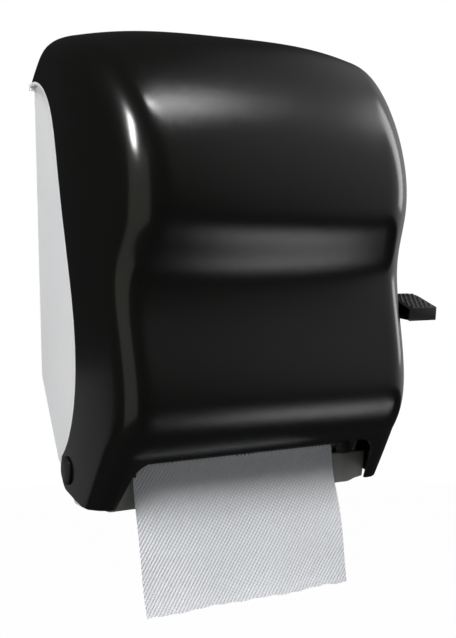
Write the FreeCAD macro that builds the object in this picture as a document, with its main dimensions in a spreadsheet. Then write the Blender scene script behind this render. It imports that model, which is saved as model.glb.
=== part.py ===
import FreeCAD, Part
import math
import os
import re
import Sketcher
from FreeCAD import Vector

# A wall dispenser for rolled paper towels, fed by a lever at its right side.
#
# Frame: +Z up, +X to the user's right, the wall is the plane Y = 0 and the user stands on the -Y side.
# The origin is the centre of the four wall screws, on the wall.
# In the sizes below "depth" is the distance out from the wall and "height" is measured upwards from
# the cover's lower edge. side() and seat() turn them into the frame.

SIZES = {
    # wall screws, four on a rectangle
    "screw_height": 230.0,
    "screws_wide": 180.0,
    "screws_tall": 230.0,
    "screw_hole_radius": 2.75,
    # the cover as a whole
    "cover_width": 297.0,
    "cover_wall": 3.0,
    "cover_height": 417.5,
    "apex_depth": 74.0,
    "rear_depth": 18.0,
    "rear_height": 402.0,
    "seam_top_height": 379.8,
    "brow_depth": 146.0,
    "brow_height": 399.5,
    "shoulder_depth": 192.5,
    "shoulder_height": 361.5,
    "upper_depth": 223.0,
    "upper_height": 314.0,
    "bulge_depth": 235.0,
    "bulge_height": 270.0,
    "neck_depth": 216.0,
    "neck_height": 221.5,
    "waist_depth": 210.0,
    "waist_height": 163.0,
    "belly_depth": 217.0,
    "belly_height": 108.5,
    "crease_depth": 190.0,
    "crease_height": 48.0,
    "lip_depth": 152.0,
    "side_straight": 85.0,
    "side_radius": 475.0,
    "crown_drop": 11.0,
    "crown_half": 130.0,
    "crown_power": 2.7,
    "front_edge_radius": 18.0,
    # the seam where the cover's sides end and the wall unit's side panels show
    "seam_brow_depth": 32.0,
    "seam_brow_height": 376.0,
    "seam_shoulder_depth": 65.0,
    "seam_shoulder_height": 354.0,
    "seam_upper_depth": 88.5,
    "seam_upper_height": 294.0,
    "seam_middle_depth": 109.0,
    "seam_middle_height": 217.0,
    "seam_belly_depth": 124.0,
    "seam_belly_height": 148.0,
    "seam_lower_depth": 121.5,
    "seam_lower_height": 98.0,
    "seam_foot_depth": 109.0,
    "seam_foot_height": 65.0,
    "seam_lap": 6.0,
    "ear_radius": 19.0,
    "toe_depth": 132.0,
    # the mouth cut into the cover's lower front
    "mouth_half_width": 118.0,
    "mouth_flare": 10.0,
    "mouth_height": 44.0,
    "mouth_corner_radius": 14.0,
    # the cover's hinge
    "hinge_depth": 96.0,
    "hinge_height": 25.0,
    "hinge_journal_radius": 6.0,
    "hinge_shank_radius": 4.0,
    "hinge_cap_radius": 12.6,
    "hinge_cap_edge": 1.5,
    "hinge_cap_dome": 2.5,
    "running_gap": 0.05,
    "seat_gap": 0.2,
    # the lock in the cover's top
    "lock_radius": 7.0,
    "lock_flange_radius": 10.0,
    "lock_flange_height": 1.4,
    "lock_body_length": 20.0,
    "lock_tail_radius": 3.0,
    "lock_boss_wall": 2.5,
    "cam_height": 381.0,
    "cam_thickness": 4.0,
    "cam_width": 8.0,
    "cam_length": 22.0,
    "catch_reach": 85.0,
    "catch_thickness": 3.0,
    "catch_ear_height": 10.0,
    "catch_ear_width": 9.0,
    # the wall unit
    "plate_thickness": 3.0,
    "panel_inset": 5.5,
    "panel_thickness": 3.0,
    "panel_foot_height": 100.0,
    "heel_depth": 50.0,
    "heel_height": 28.0,
    "keel_depth": 100.0,
    "keel_drop": 8.0,
    "apron_foot_depth": 131.0,
    "apron_lip_depth": 134.0,
    "apron_lip_height": 22.0,
    "apron_corner_radius": 28.0,
    "apron_wall": 2.5,
    "rim_width": 2.5,
    "rib_height": 4.0,
    "rib_thickness": 2.0,
    # the two plates that carry the mechanism
    "frame_half": 112.0,
    "frame_thickness": 3.0,
    "flange_width": 15.0,
    "flange_foot": 112.0,
    "flange_top": 168.0,
    "flange_screw_reach": 8.0,
    "flange_screw_low": 124.0,
    "flange_screw_high": 156.0,
    "small_screw_radius": 1.9,
    "small_head_radius": 3.8,
    "small_head_height": 2.4,
    "rod_radius": 3.0,
    "rear_rod_depth": 14.0,
    "rear_rod_height": 158.0,
    "front_rod_depth": 104.0,
    "front_rod_height": 38.0,
    # lever, sector gear and pinion
    "lever_depth": 90.0,
    "lever_height": 125.0,
    "lever_shaft_radius": 5.0,
    "lever_shaft_start": 109.2,
    "lever_gap": 1.5,
    "lever_thickness": 6.0,
    "lever_hub_radius": 14.0,
    "lever_reach": 181.0,
    "paddle_rear_depth": 160.0,
    "paddle_rear_height": 174.5,
    "paddle_front_depth": 196.5,
    "paddle_front_height": 161.5,
    "paddle_thickness": 9.0,
    "paddle_skin": 2.6,
    "gear_module": 1.5,
    "sector_teeth": 94.0,
    "pinion_teeth": 20.0,
    "gear_backlash": 0.25,
    "gear_start": 118.0,
    "gear_width": 6.0,
    "sector_hub_radius": 10.0,
    "lever_stroke": 45.0,
    "drive_offset_depth": 64.0,
    # rollers
    "towel_width": 203.0,
    "roller_half_length": 104.0,
    "drive_radius": 20.0,
    "drive_core_radius": 17.0,
    "drive_shaft_radius": 4.0,
    "press_radius": 11.0,
    "press_core_radius": 8.0,
    "press_shaft_radius": 3.0,
    "press_drop": 2.9,
    "tyre_width": 30.0,
    "bush_wall": 3.0,
    "bush_flange": 2.0,
    "clutch_radius": 8.5,
    "block_length": 14.0,
    "block_width": 12.0,
    "spring_wire": 0.8,
    "press_spring_radius": 2.0,
    "press_spring_length": 14.0,
    # towel: sheet thickness is a stand-in that a solid can hold
    "sheet_thickness": 0.6,
    "sheet_gap": 0.3,
    "roll_depth": 120.0,
    "roll_height": 275.0,
    "roll_radius": 88.0,
    "core_radius": 22.5,
    "core_wall": 1.8,
    "hub_flange_radius": 30.0,
    "hub_flange": 2.4,
    "hub_plug_length": 14.0,
    "hub_pin_radius": 5.0,
    "arm_half": 105.0,
    "arm_thickness": 4.0,
    "arm_foot": 240.0,
    "arm_top": 312.0,
    "tail_knee_depth": 136.8,
    "tail_knee_height": 28.0,
    "tail_middle_depth": 146.5,
    "tail_middle_height": -34.0,
    "tail_end_depth": 160.0,
    "tail_end_height": -97.0,
    # tear bar, its carrier, the guide, the cradle and the transfer bar
    "blade_depth": 139.0,
    "blade_thickness": 1.0,
    "blade_foot": 30.0,
    "blade_height": 14.0,
    "blade_tooth_height": 3.0,
    "blade_pitch": 4.0,
    "carrier_depth": 10.0,
    "carrier_height": 11.0,
    "carrier_block_width": 9.0,
    "guide_height": 47.0,
    "guide_gap": 4.5,
    "guide_thickness": 2.0,
    "cradle_depth": 62.0,
    "cradle_height": 118.0,
    "cradle_radius": 52.0,
    "cradle_thickness": 2.5,
    "transfer_depth": 48.0,
    "transfer_height": 160.0,
    "transfer_half": 104.0,
    "transfer_thickness": 3.0,
    "transfer_end_depth": 118.0,
    "transfer_end_height": 100.0,
    "transfer_width": 12.0,
    "transfer_pin_radius": 3.0,
    # the lever's return spring
    "return_wire": 1.2,
    "return_radius": 9.0,
    "return_start": 129.5,
    "return_turns": 5.0,
    "return_pitch": 1.72,
}

doc = FreeCAD.newDocument("towel_dispenser")
sheet = doc.addObject("Spreadsheet::Sheet", "Sizes")
for row, (alias, number) in enumerate(SIZES.items(), start=1):
    sheet.set(f"A{row}", alias.replace("_", " "))
    sheet.set(f"B{row}", str(number))
    sheet.setAlias(f"B{row}", alias)
doc.recompute()

pieces = []


# ---- reading the sheet -------------------------------------------------------------------------


def formula(text):
    """Turn a formula of plain size names into one that reads the sheet."""
    return re.sub(r"[a-z]+(?:_[a-z]+)*", lambda word: ("Sizes." if word[0] in SIZES else "") + word[0], text)


def size(text):
    """The value of a formula of size names."""
    return float(sheet.evalExpression(formula(text)))


def bind(thing, path, text):
    """Bind one property of an object to a formula."""
    thing.setExpression(path, formula(text))


def side(depth, height):
    """A point of the side view as the formulas of its Y and Z."""
    return f"-({depth})", f"({height}) - screw_height"


def spot(x, depth, height):
    """A point in the frame, from plain numbers."""
    return Vector(x, -depth, height - size("screw_height"))


def finish(thing, label):
    """Name a finished sub-part, which is written to its own file."""
    thing.Label = label
    pieces.append(thing)
    return thing


# ---- building blocks ---------------------------------------------------------------------------


def plane_of(body, role):
    """One of a body's own three origin planes."""
    return [item for item in body.Origin.OriginFeatures if item.Role == role][0]


def draw(body, name, role, corners=(), rounds=(), offset=None):
    """A sketch of one closed outline and of round holes, every point tied to the sheet."""
    sketch = body.newObject("Sketcher::SketchObject", name)
    sketch.AttachmentSupport = (plane_of(body, role), [""])
    sketch.MapMode = "FlatFace"
    if offset:
        bind(sketch, "AttachmentOffset.Base.z", offset)
    points = [Vector(size(u), size(v), 0) for u, v in corners]
    for start, end in zip(points, points[1:] + points[:1]):
        sketch.addGeometry(Part.LineSegment(start, end))
    count = len(points)
    for index in range(count):
        sketch.addConstraint(Sketcher.Constraint("Coincident", index, 2, (index + 1) % count, 1))
    ties = []
    for index, (u, v) in enumerate(corners):
        ties.append(("DistanceX", index, 1, u))
        ties.append(("DistanceY", index, 1, v))
    for u, v, radius in rounds:
        circle = Part.Circle(Vector(size(u), size(v), 0), Vector(0, 0, 1), size(radius))
        index = sketch.addGeometry(circle)
        ties.append(("DistanceX", index, 3, u))
        ties.append(("DistanceY", index, 3, v))
        tie = sketch.addConstraint(Sketcher.Constraint("Radius", index, size(radius)))
        bind(sketch, f"Constraints[{tie}]", radius)
    for kind, index, end, text in ties:
        tie = sketch.addConstraint(Sketcher.Constraint(kind, -1, 1, index, end, size(text)))
        bind(sketch, f"Constraints[{tie}]", text)
    return sketch


def pad(body, sketch, length):
    """Raise a sketch into the body."""
    feature = body.newObject("PartDesign::Pad", sketch.Name + "_pad")
    feature.Profile = sketch
    bind(feature, "Length", length)
    return feature


def pocket(body, sketch, length):
    """Cut a sketch into the body, along the direction in which a pad would rise."""
    feature = body.newObject("PartDesign::Pocket", sketch.Name + "_pocket")
    feature.Profile = sketch
    feature.Reversed = True
    bind(feature, "Length", length)
    return feature


def plate(label, corners, holes, start, thickness):
    """A flat plate, drawn in the side view and as thick as stated along X from start."""
    body = doc.addObject("PartDesign::Body", label)
    pad(body, draw(body, label + "_outline", "YZ_Plane", corners, holes), thickness)
    bind(body, "Placement.Base.x", start)
    return body


def block(body, name, x, depth, height, wide, deep, tall, kind="Additive"):
    """A block added to or taken from a body, from its low X, far Y and low Z corner."""
    feature = body.newObject(f"PartDesign::{kind}Box", name)
    bind(feature, "Length", wide)
    bind(feature, "Width", deep)
    bind(feature, "Height", tall)
    bind(feature, "Placement.Base.x", x)
    bind(feature, "Placement.Base.y", f"-({depth}) - ({deep})")
    bind(feature, "Placement.Base.z", f"({height}) - screw_height")
    return feature


def turned(label, corners, depth, height):
    """A turned piece on an axis along X. Its corners are pairs of x and radius."""
    body = doc.addObject("PartDesign::Body", label)
    sketch = draw(body, label + "_section", "XY_Plane", corners)
    feature = body.newObject("PartDesign::Revolution", label + "_turn")
    feature.Profile = sketch
    feature.ReferenceAxis = (sketch, ["H_Axis"])
    feature.Angle = 360
    bind(body, "Placement.Base.y", f"-({depth})")
    bind(body, "Placement.Base.z", f"({height}) - screw_height")
    return body


def tube(start, end, bore, outside):
    """The half section of a plain sleeve or, with no bore, of a rod."""
    return [(start, bore), (end, bore), (end, outside), (start, outside)]


def group(label, members):
    """Identical loose pieces kept together as one sub-part."""
    compound = doc.addObject("Part::Compound", label)
    compound.Links = members
    return finish(compound, label)


def solid_piece(label, shape):
    """A sub-part whose free form is set by its own function."""
    feature = doc.addObject("Part::Feature", label)
    feature.Shape = shape
    return finish(feature, label)


def smooth(points):
    """One smooth edge through the points."""
    curve = Part.BSplineCurve()
    curve.interpolate(points)
    return curve


def prism(edges, start, length):
    """Close edges drawn in the side view into a face and raise it along X."""
    face = Part.Face(Part.Wire(edges))
    face.translate(Vector(start, 0, 0))
    return face.extrude(Vector(length, 0, 0))


def chain(points):
    """Straight edges from point to point."""
    return [Part.makeLine(a, b) for a, b in zip(points, points[1:])]


def named_stations(*names):
    """Side view points from the sizes NAME_depth and NAME_height."""
    return [spot(0, size(name + "_depth"), size(name + "_height")) for name in names]


# ---- the cover ---------------------------------------------------------------------------------

# The cover is crowned from side to side: at each station its surface drops towards the sides by this
# share of the crown's drop.
CROWN = {
    "rear": 0.6,
    "apex": 1.0,
    "brow": 0.75,
    "shoulder": 0.45,
    "upper": 0.3,
    "bulge": 0.3,
    "neck": 0.15,
    "waist": 0.0,
    "belly": 0.0,
}


def cover_points():
    """The side view's points between the wall and the crease, at the cover's middle."""
    top = [
        spot(0, size("rear_depth"), size("rear_height")),
        spot(0, size("apex_depth"), size("cover_height")),
    ]
    return top + named_stations("brow", "shoulder", "upper", "bulge", "neck", "waist", "belly")


def cover_curve():
    """The cover's outline from the wall over the top and down the wavy front to the crease."""
    start = spot(0, size("plate_thickness + seat_gap"), size("seam_top_height"))
    return smooth([start] + cover_points() + named_stations("crease"))


def moved_in(curve, point, inset):
    """The point moved towards the inside of the cover, square to its outline."""
    along = Vector(*curve.tangent(curve.parameter(point))[0])
    return point + Vector(0, along.z, -along.y) * -inset


def cover_section(x, inset):
    """The closed side view of the cover at one x, with the crown's drop there."""
    outer = cover_curve()
    ends = [outer.value(outer.FirstParameter), outer.value(outer.LastParameter)]
    drop = size("crown_drop") * (abs(x) / size("crown_half")) ** size("crown_power")
    start = ends[0] - Vector(0, 0, inset)
    middle = [moved_in(outer, point, inset + drop * share) for point, share in zip(cover_points(), CROWN.values())]
    crease = moved_in(outer, ends[1], inset)
    slope = spot(0, size("lip_depth"), 0) - ends[1]
    below = 0.0 if inset == 0 else 12.0
    lip = spot(0, size("lip_depth") - inset, 0) + slope * (below / slope.Length)
    back_foot = Vector(0, start.y, lip.z)
    section = Part.Wire([smooth([start] + middle + [crease]).toShape()] + chain([crease, lip, back_foot, start]))
    section.translate(Vector(x, 0, 0))
    return section


def cover_form(inset):
    """The cover's whole outer form, or the hollow inside it when inset is its wall."""
    half = size("cover_width") / 2 - inset
    reach = size("cover_width") / 2 + 6
    shares = (-1, -0.72, -0.4, 0, 0.4, 0.72, 1)
    form = Part.makeLoft([cover_section(share * reach, inset) for share in shares], True, False)
    radius = size("side_radius") - inset
    straight = size("side_straight")
    far = size("bulge_depth") + 30
    span = far - straight
    far_half = half - radius + math.sqrt(radius**2 - span**2)
    mid_half = half - radius + math.sqrt(radius**2 - (span / 2) ** 2)
    floor = -size("screw_height") - 30
    rear = -size("plate_thickness + seat_gap")
    back = rear if inset == 0 else 5.0
    right = [Vector(half, back, floor), Vector(half, -straight, floor)]
    edges = chain(right)
    edges.append(Part.Arc(right[1], Vector(mid_half, -straight - span / 2, floor), Vector(far_half, -far, floor)).toShape())
    edges.append(Part.makeLine(Vector(far_half, -far, floor), Vector(-far_half, -far, floor)))
    edges.append(
        Part.Arc(
            Vector(-far_half, -far, floor), Vector(-mid_half, -straight - span / 2, floor), Vector(-half, -straight, floor)
        ).toShape()
    )
    edges += chain([Vector(-half, -straight, floor), Vector(-half, back, floor), right[0]])
    plan = Part.Face(Part.Wire(edges)).extrude(Vector(0, 0, size("cover_height") + 60))
    form = form.common(plan)
    form = form.Solids[0]
    rounded = []
    for edge in form.Edges:
        box = edge.BoundBox
        upright = box.XLength < 0.1 and box.YLength < 0.1
        at_back = box.YMin > rear - 0.5
        at_foot = box.ZLength < 0.1
        at_side = min(abs(box.XMin), abs(box.XMax)) > far_half - 5
        if at_side and not upright and not at_back and not at_foot:
            rounded.append(edge)
    return form.makeFillet(size("front_edge_radius") - inset, rounded)


def ear_point(degrees, radius):
    """A point on the ear round the hinge pin, from the way to the user, turning up."""
    turn = math.radians(degrees)
    depth = size("hinge_depth") + radius * math.cos(turn)
    return spot(0, depth, size("hinge_height") + radius * math.sin(turn))


def seam_points():
    """The seam from the wall at the top down to the ear."""
    top = spot(0, size("plate_thickness + seat_gap"), size("seam_top_height"))
    names = ("seam_brow", "seam_shoulder", "seam_upper", "seam_middle", "seam_belly", "seam_lower", "seam_foot")
    return [top] + named_stations(*names) + [ear_point(150, size("ear_radius"))]


def front_cover():
    """Smoked front cover: a moulded shell open to the wall and below, with two hinge ears and a mouth."""
    wide = size("cover_width") + 40
    shell = cover_form(0).cut(cover_form(size("cover_wall")))
    # everything behind the seam, the ear and the slanting lower edge is open
    seam = seam_points()
    ear = Part.Arc(ear_point(150, size("ear_radius")), ear_point(200, size("ear_radius")), ear_point(255, size("ear_radius")))
    toe = spot(0, size("toe_depth"), 0)
    outside = [
        ear_point(255, size("ear_radius")),
        toe,
        toe - Vector(0, 0, 20),
        Vector(0, 20, toe.z - 20),
        Vector(0, 20, seam[0].z),
        seam[0],
    ]
    behind = prism([smooth(seam).toShape(), ear.toShape()] + chain(outside), -wide / 2, wide)
    shell = shell.cut(behind)
    # the mouth, with flaring sides and round upper corners
    half = size("mouth_half_width")
    top = size("mouth_height")
    corners = [(-half, top), (half, top), (half + size("mouth_flare"), -15), (-half - size("mouth_flare"), -15)]
    points = [spot(x, size("apron_lip_depth") + 4, height) for x, height in corners]
    mouth = Part.Face(Part.makePolygon(points + points[:1])).extrude(Vector(0, -size("bulge_depth"), 0))
    uprights = [edge for edge in mouth.Edges if edge.BoundBox.YLength > 50 and edge.BoundBox.ZMin > points[0].z - 1]
    shell = shell.cut(mouth.makeFillet(size("mouth_corner_radius"), uprights))
    # hinge ears: a thicker disc inside each ear, and the hole for the journal
    gap = size("panel_inset") - size("cover_wall") - size("seat_gap")
    inner = size("cover_width") / 2 - size("cover_wall")
    for way in (1, -1):
        centre = spot(way * (inner - gap), size("hinge_depth"), size("hinge_height"))
        disc = Part.makeCylinder(size("ear_radius") - 1, gap + 0.5, centre, Vector(way, 0, 0))
        shell = shell.fuse(disc)
        hole = Part.makeCylinder(size("hinge_journal_radius + running_gap"), 20, centre - Vector(way, 0, 0), Vector(way, 0, 0))
        shell = shell.cut(hole)
    # the tube that holds the lock
    top_height = size("cover_height")
    foot = spot(0, size("apex_depth"), top_height - size("lock_body_length"))
    bore = size("lock_radius + running_gap")
    boss = Part.makeCylinder(bore + size("lock_boss_wall"), size("lock_body_length - cover_wall / 2"), foot)
    shell = shell.fuse(boss).cut(Part.makeCylinder(bore, size("lock_body_length") + 5, foot - Vector(0, 0, 1)))
    return shell.Solids[0]


# ---- the wall unit -----------------------------------------------------------------------------


def chassis_edges(wall):
    """The wall unit's side outline, moved in by the wall where it is closed."""
    lap = size("seam_lap")
    seam = seam_points()[1:-1]
    lapped = [point + Vector(0, -lap, 0) for point in seam]
    lapped[0] += Vector(0, 0, lap)
    rear = size("plate_thickness") if wall else 0
    top = spot(0, size("plate_thickness + seat_gap"), size("seam_top_height") - 4)
    slope = size("panel_foot_height - heel_height") / size("heel_depth")
    lift = wall * math.sqrt(1 + slope**2)
    keel = (size("heel_height") + size("keel_drop")) / size("keel_depth - heel_depth")
    keel_lift = wall * math.sqrt(1 + keel**2)
    heel_shift = (keel_lift - lift) / (keel - slope)
    floor = wall - size("keel_drop")
    points = [
        spot(0, rear, size("seam_top_height") - 4),
        spot(0, rear, size("panel_foot_height") + lift - slope * rear),
        spot(0, size("heel_depth") - heel_shift, size("heel_height") + keel_lift + keel * heel_shift),
        spot(0, size("keel_depth") + (keel_lift - wall) / keel, floor),
        spot(0, size("apron_foot_depth") - wall, floor),
        spot(0, size("apron_lip_depth") - wall, size("apron_lip_height")),
        spot(0, size("keel_depth") + 12, size("apron_lip_height")),
        lapped[-1],
    ]
    return chain(points) + [smooth(lapped[::-1]).toShape()] + chain([lapped[0], top, points[0]])


def rounded_apron(solid, radius):
    """Round the two upright corners at the apron's front."""
    corners = []
    for edge in solid.Edges:
        box = edge.BoundBox
        if box.XLength < 0.1 and 20 < box.ZLength < 35 and box.YMax < -size("apron_foot_depth - apron_wall") + 3:
            corners.append(edge)
    return solid.makeFillet(radius, corners)


def back_chassis():
    """White wall unit in one moulding: back plate, side panels, sloping heel, floor and apron."""
    half = size("cover_width / 2 - panel_inset")
    inner = half - size("panel_thickness")
    thin = size("apron_wall")
    outer = rounded_apron(prism(chassis_edges(0), -half, 2 * half), size("apron_corner_radius"))
    hollow = rounded_apron(prism(chassis_edges(thin), -inner, 2 * inner), size("apron_corner_radius - apron_wall"))
    tub = outer.cut(hollow)
    # above the apron's lip the front is open
    lip = size("apron_lip_height")
    above = Part.makeBox(2 * inner, 300, 400, spot(-inner, 300 + size("panel_foot_height"), lip))
    tub = tub.cut(above)
    # the plate's top runs out to the cover's full width and shows as a thin white line
    full = size("cover_width / 2") - size("seat_gap")
    top = size("seam_top_height")
    plate_depth = size("plate_thickness")
    tub = tub.fuse(Part.makeBox(2 * full, plate_depth, 6, spot(-full, plate_depth, top - 6)))
    # a raised rim follows the seam's upper half on each side, flush with the cover, and fades out
    seam = smooth(seam_points())
    last = seam.parameter(named_stations("seam_middle")[0])
    ahead = []
    behind = []
    for index in range(25):
        share = index / 24
        place = seam.FirstParameter + (last - seam.FirstParameter) * share
        along = Vector(*seam.tangent(place)[0])
        back = Vector(0, -along.z, along.y)
        ahead.append(seam.value(place) + back * size("seat_gap"))
        behind.append(seam.value(place) + back * (size("seat_gap") + size("rim_width") * (1 - 0.85 * share**2)))
    rim = [smooth(ahead).toShape(), Part.makeLine(ahead[-1], behind[-1])]
    rim += [smooth(behind[::-1]).toShape(), Part.makeLine(behind[0], ahead[0])]
    for start in (half - 0.5, -full):
        tub = tub.fuse(prism(rim, start, full - half + 0.5))
    # the lock's catch: a shelf with one upturned ear that the turned cam comes to lie behind
    ear = size("catch_thickness")
    shelf_top = size("cam_height") - 2.5
    ear_wide = size("catch_ear_width")
    gap = size("cam_width") / 2 + 3
    reach = size("catch_reach")
    tub = tub.fuse(Part.makeBox(ear_wide, reach - 1, ear, spot(-gap - ear_wide, reach, shelf_top - ear)))
    tub = tub.fuse(Part.makeBox(ear_wide, ear, size("catch_ear_height"), spot(-gap - ear_wide, reach, shelf_top - 0.5)))
    # stiffening ribs up the back plate
    rib = size("rib_height")
    rib_thick = size("rib_thickness")
    rib_foot = size("flange_top") + 14
    for x in (-60, 0, 60):
        tub = tub.fuse(Part.makeBox(rib_thick, rib + 1, 370 - rib_foot, spot(x - rib_thick / 2, plate_depth + rib, rib_foot)))
    # holes: wall screws, the hinge pins' shanks, the lever shaft's bush and the small screws
    cuts = []
    for x in (-size("screws_wide") / 2, size("screws_wide") / 2):
        for z in (-size("screws_tall") / 2, size("screws_tall") / 2):
            cuts.append(Part.makeCylinder(size("screw_hole_radius"), 20, Vector(x, 10, z), Vector(0, -1, 0)))
    for start in (inner - 1, -half - 1):
        centre = spot(start, size("hinge_depth"), size("hinge_height"))
        cuts.append(Part.makeCylinder(size("hinge_shank_radius + running_gap"), 5, centre, Vector(1, 0, 0)))
    bush = size("lever_shaft_radius + running_gap + bush_wall + running_gap")
    centre = spot(inner - 1, size("lever_depth"), size("lever_height"))
    cuts.append(Part.makeCylinder(bush, 5, centre, Vector(1, 0, 0)))
    for x, height in screw_places("frame") + screw_places("arm"):
        centre = spot(x, 0, height) + Vector(0, 5, 0)
        cuts.append(Part.makeCylinder(size("small_screw_radius"), 12, centre, Vector(0, -1, 0)))
    for cut in cuts:
        tub = tub.cut(cut)
    return tub.removeSplitter().Solids[0]


def screw_places(kind):
    """Where the small screws that hold the plates or the roll arms go: x and height."""
    if kind == "frame":
        reach = size("frame_half + frame_thickness + flange_screw_reach")
        heights = (size("flange_screw_low"), size("flange_screw_high"))
    else:
        reach = size("arm_half + arm_thickness + flange_screw_reach")
        heights = (size("arm_foot") + 14, size("arm_top") - 14)
    return [(way * reach, height) for way in (1, -1) for height in heights]


# ---- gears -------------------------------------------------------------------------------------

PRESSURE_ANGLE = math.radians(20)


def polar(radius, angle):
    """A point of the side view round the origin, angle from +Y turning to +Z."""
    return Vector(0, radius * math.cos(angle), radius * math.sin(angle))


def tooth_edges(teeth, angle):
    """One involute tooth centred on the angle: root corner, flank, tip and flank."""
    module = size("gear_module")
    pitch = module * teeth / 2
    base = pitch * math.cos(PRESSURE_ANGLE)
    root = pitch - 1.25 * module
    tip = pitch + 0.98 * module
    half = (math.pi * module / 2 - size("gear_backlash")) / 2 / pitch

    def lean(radius):
        """How far the flank has leaned in at a radius."""
        turn = math.acos(min(1.0, base / radius))
        return half + math.tan(PRESSURE_ANGLE) - PRESSURE_ANGLE - math.tan(turn) + turn

    foot = max(root, base)
    levels = (foot, (foot + tip) / 2, tip)
    low = [polar(radius, angle - lean(radius)) for radius in levels]
    high = [polar(radius, angle + lean(radius)) for radius in levels]
    edges = [Part.Arc(*low).toShape(), Part.Arc(low[2], polar(tip, angle), high[2]).toShape()]
    edges.append(Part.Arc(*high[::-1]).toShape())
    first = low[0]
    last = high[0]
    if root < base - 0.01:
        first = polar(root, angle - lean(base))
        last = polar(root, angle + lean(base))
        edges = [Part.makeLine(first, low[0])] + edges + [Part.makeLine(high[0], last)]
    return edges, first, last


def toothed(teeth, angles):
    """The edges of neighbouring teeth, joined along the root."""
    edges = []
    ends = []
    for angle in angles:
        tooth, first, last = tooth_edges(teeth, angle)
        if edges:
            edges.append(Part.makeLine(ends[-1], first))
        edges += tooth
        ends += [first, last]
    return edges, ends[0], ends[-1]


def mesh_angle():
    """The way from the lever's axis to the pinion's axis in the side view."""
    across = size("drive_offset_depth")
    return math.atan2(-math.sqrt(gear_distance() ** 2 - across**2), -across)


def gear_distance():
    """The distance between the two gears' axes."""
    return size("gear_module * (sector_teeth + pinion_teeth) / 2")


def drive_place():
    """Depth and height of the drive roller's axis."""
    drop = math.sqrt(gear_distance() ** 2 - size("drive_offset_depth") ** 2)
    return size("lever_depth + drive_offset_depth"), size("lever_height") - drop


def press_place():
    """Depth and height of the pressure roller's axis, behind the towel."""
    depth, height = drive_place()
    reach = size("drive_radius + press_radius + sheet_thickness + 2 * sheet_gap")
    drop = size("press_drop")
    return depth - math.sqrt(reach**2 - drop**2), height - drop


def sector_gear():
    """Toothed sector on the lever's shaft, with a round hub and a lightening hole."""
    teeth = round(size("sector_teeth"))
    step = 2 * math.pi / teeth
    stroke = math.radians(size("lever_stroke"))
    spare = 3
    count = math.ceil(stroke / step) + 2 * spare
    angles = [mesh_angle() + (spare - index) * step for index in range(count + 1)][::-1]
    edges, first, last = toothed(teeth, angles)
    hub = size("sector_hub_radius")
    low = polar(hub, angles[0] - 0.6)
    high = polar(hub, angles[-1] + 0.6)
    edges = [Part.makeLine(low, first)] + edges + [Part.makeLine(last, high), Part.makeLine(high, low)]
    start = size("gear_start")
    width = size("gear_width")
    gear = prism(edges, start, width)
    gear = gear.fuse(Part.makeCylinder(hub, width + 4, Vector(start - 2, 0, 0), Vector(1, 0, 0)))
    middle = (angles[0] + angles[-1]) / 2
    for turn in (-0.27, 0.27):
        hole = polar(size("gear_module * sector_teeth / 2") * 0.62, middle + turn) + Vector(start - 1, 0, 0)
        gear = gear.cut(Part.makeCylinder(9, width + 2, hole, Vector(1, 0, 0)))
    bore = Part.makeCylinder(size("lever_shaft_radius"), width + 8, Vector(start - 4, 0, 0), Vector(1, 0, 0))
    gear = gear.cut(bore)
    gear.translate(spot(0, size("lever_depth"), size("lever_height")))
    return gear.Solids[0]


def drive_pinion():
    """Pinion driven by the sector, bored for the one-way clutch."""
    teeth = round(size("pinion_teeth"))
    step = 2 * math.pi / teeth
    angles = [mesh_angle() + math.pi + (index + 0.5) * step for index in range(teeth)]
    edges, first, last = toothed(teeth, angles)
    edges.append(Part.makeLine(last, first))
    start = size("gear_start")
    width = size("gear_width")
    gear = prism(edges, start, width)
    bore = Part.makeCylinder(size("clutch_radius"), width + 4, Vector(start - 2, 0, 0), Vector(1, 0, 0))
    gear = gear.cut(bore)
    gear.translate(spot(0, *drive_place()))
    return gear.Solids[0]


# ---- springs and sheets ------------------------------------------------------------------------


def coil(radius, wire, turns, length):
    """A coil of six-sided wire round the X axis, from x = 0."""
    helix = Part.makeHelix(length / turns, length, radius)
    ring = [polar(wire / 2, math.radians(60 * index)) for index in range(7)]
    ring = Part.makePolygon([Vector(radius + point.y, 0, point.z) for point in ring])
    spring = Part.Wire(helix.Edges).makePipeShell([ring], True, True)
    spring.rotate(Vector(0, 0, 0), Vector(0, 1, 0), 90)
    return spring


def return_spring():
    """Torsion spring round the lever's shaft, between the sector's hub and the side panel."""
    wire = size("return_wire")
    turns = size("return_turns")
    spring = coil(size("return_radius"), wire, turns, turns * size("return_pitch"))
    spring.translate(spot(size("return_start"), size("lever_depth"), size("lever_height")))
    return spring


def press_springs():
    """A pair of small springs that push the pressure roller's blocks to the drive roller."""
    depth, height = press_place()
    length = size("press_spring_length")
    springs = []
    for way in (1, -1):
        spring = coil(size("press_spring_radius"), size("spring_wire"), 6, length - size("spring_wire"))
        spring.rotate(Vector(0, 0, 0), Vector(0, 0, 1), 90)
        back = depth - size("block_length / 2") - size("spring_wire / 2")
        spring.translate(spot(way * (size("frame_half") - 2.7), back, height))
        springs.append(spring)
    return Part.makeCompound(springs)


def offset_pair(points, reach):
    """The points moved square to the line through them, to one side and the other."""
    line = smooth(points)
    sides = ([], [])
    for point in points:
        along = Vector(*line.tangent(line.parameter(point))[0])
        across = Vector(0, along.z, -along.y) * reach
        sides[0].append(point + across)
        sides[1].append(point - across)
    return sides


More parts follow.
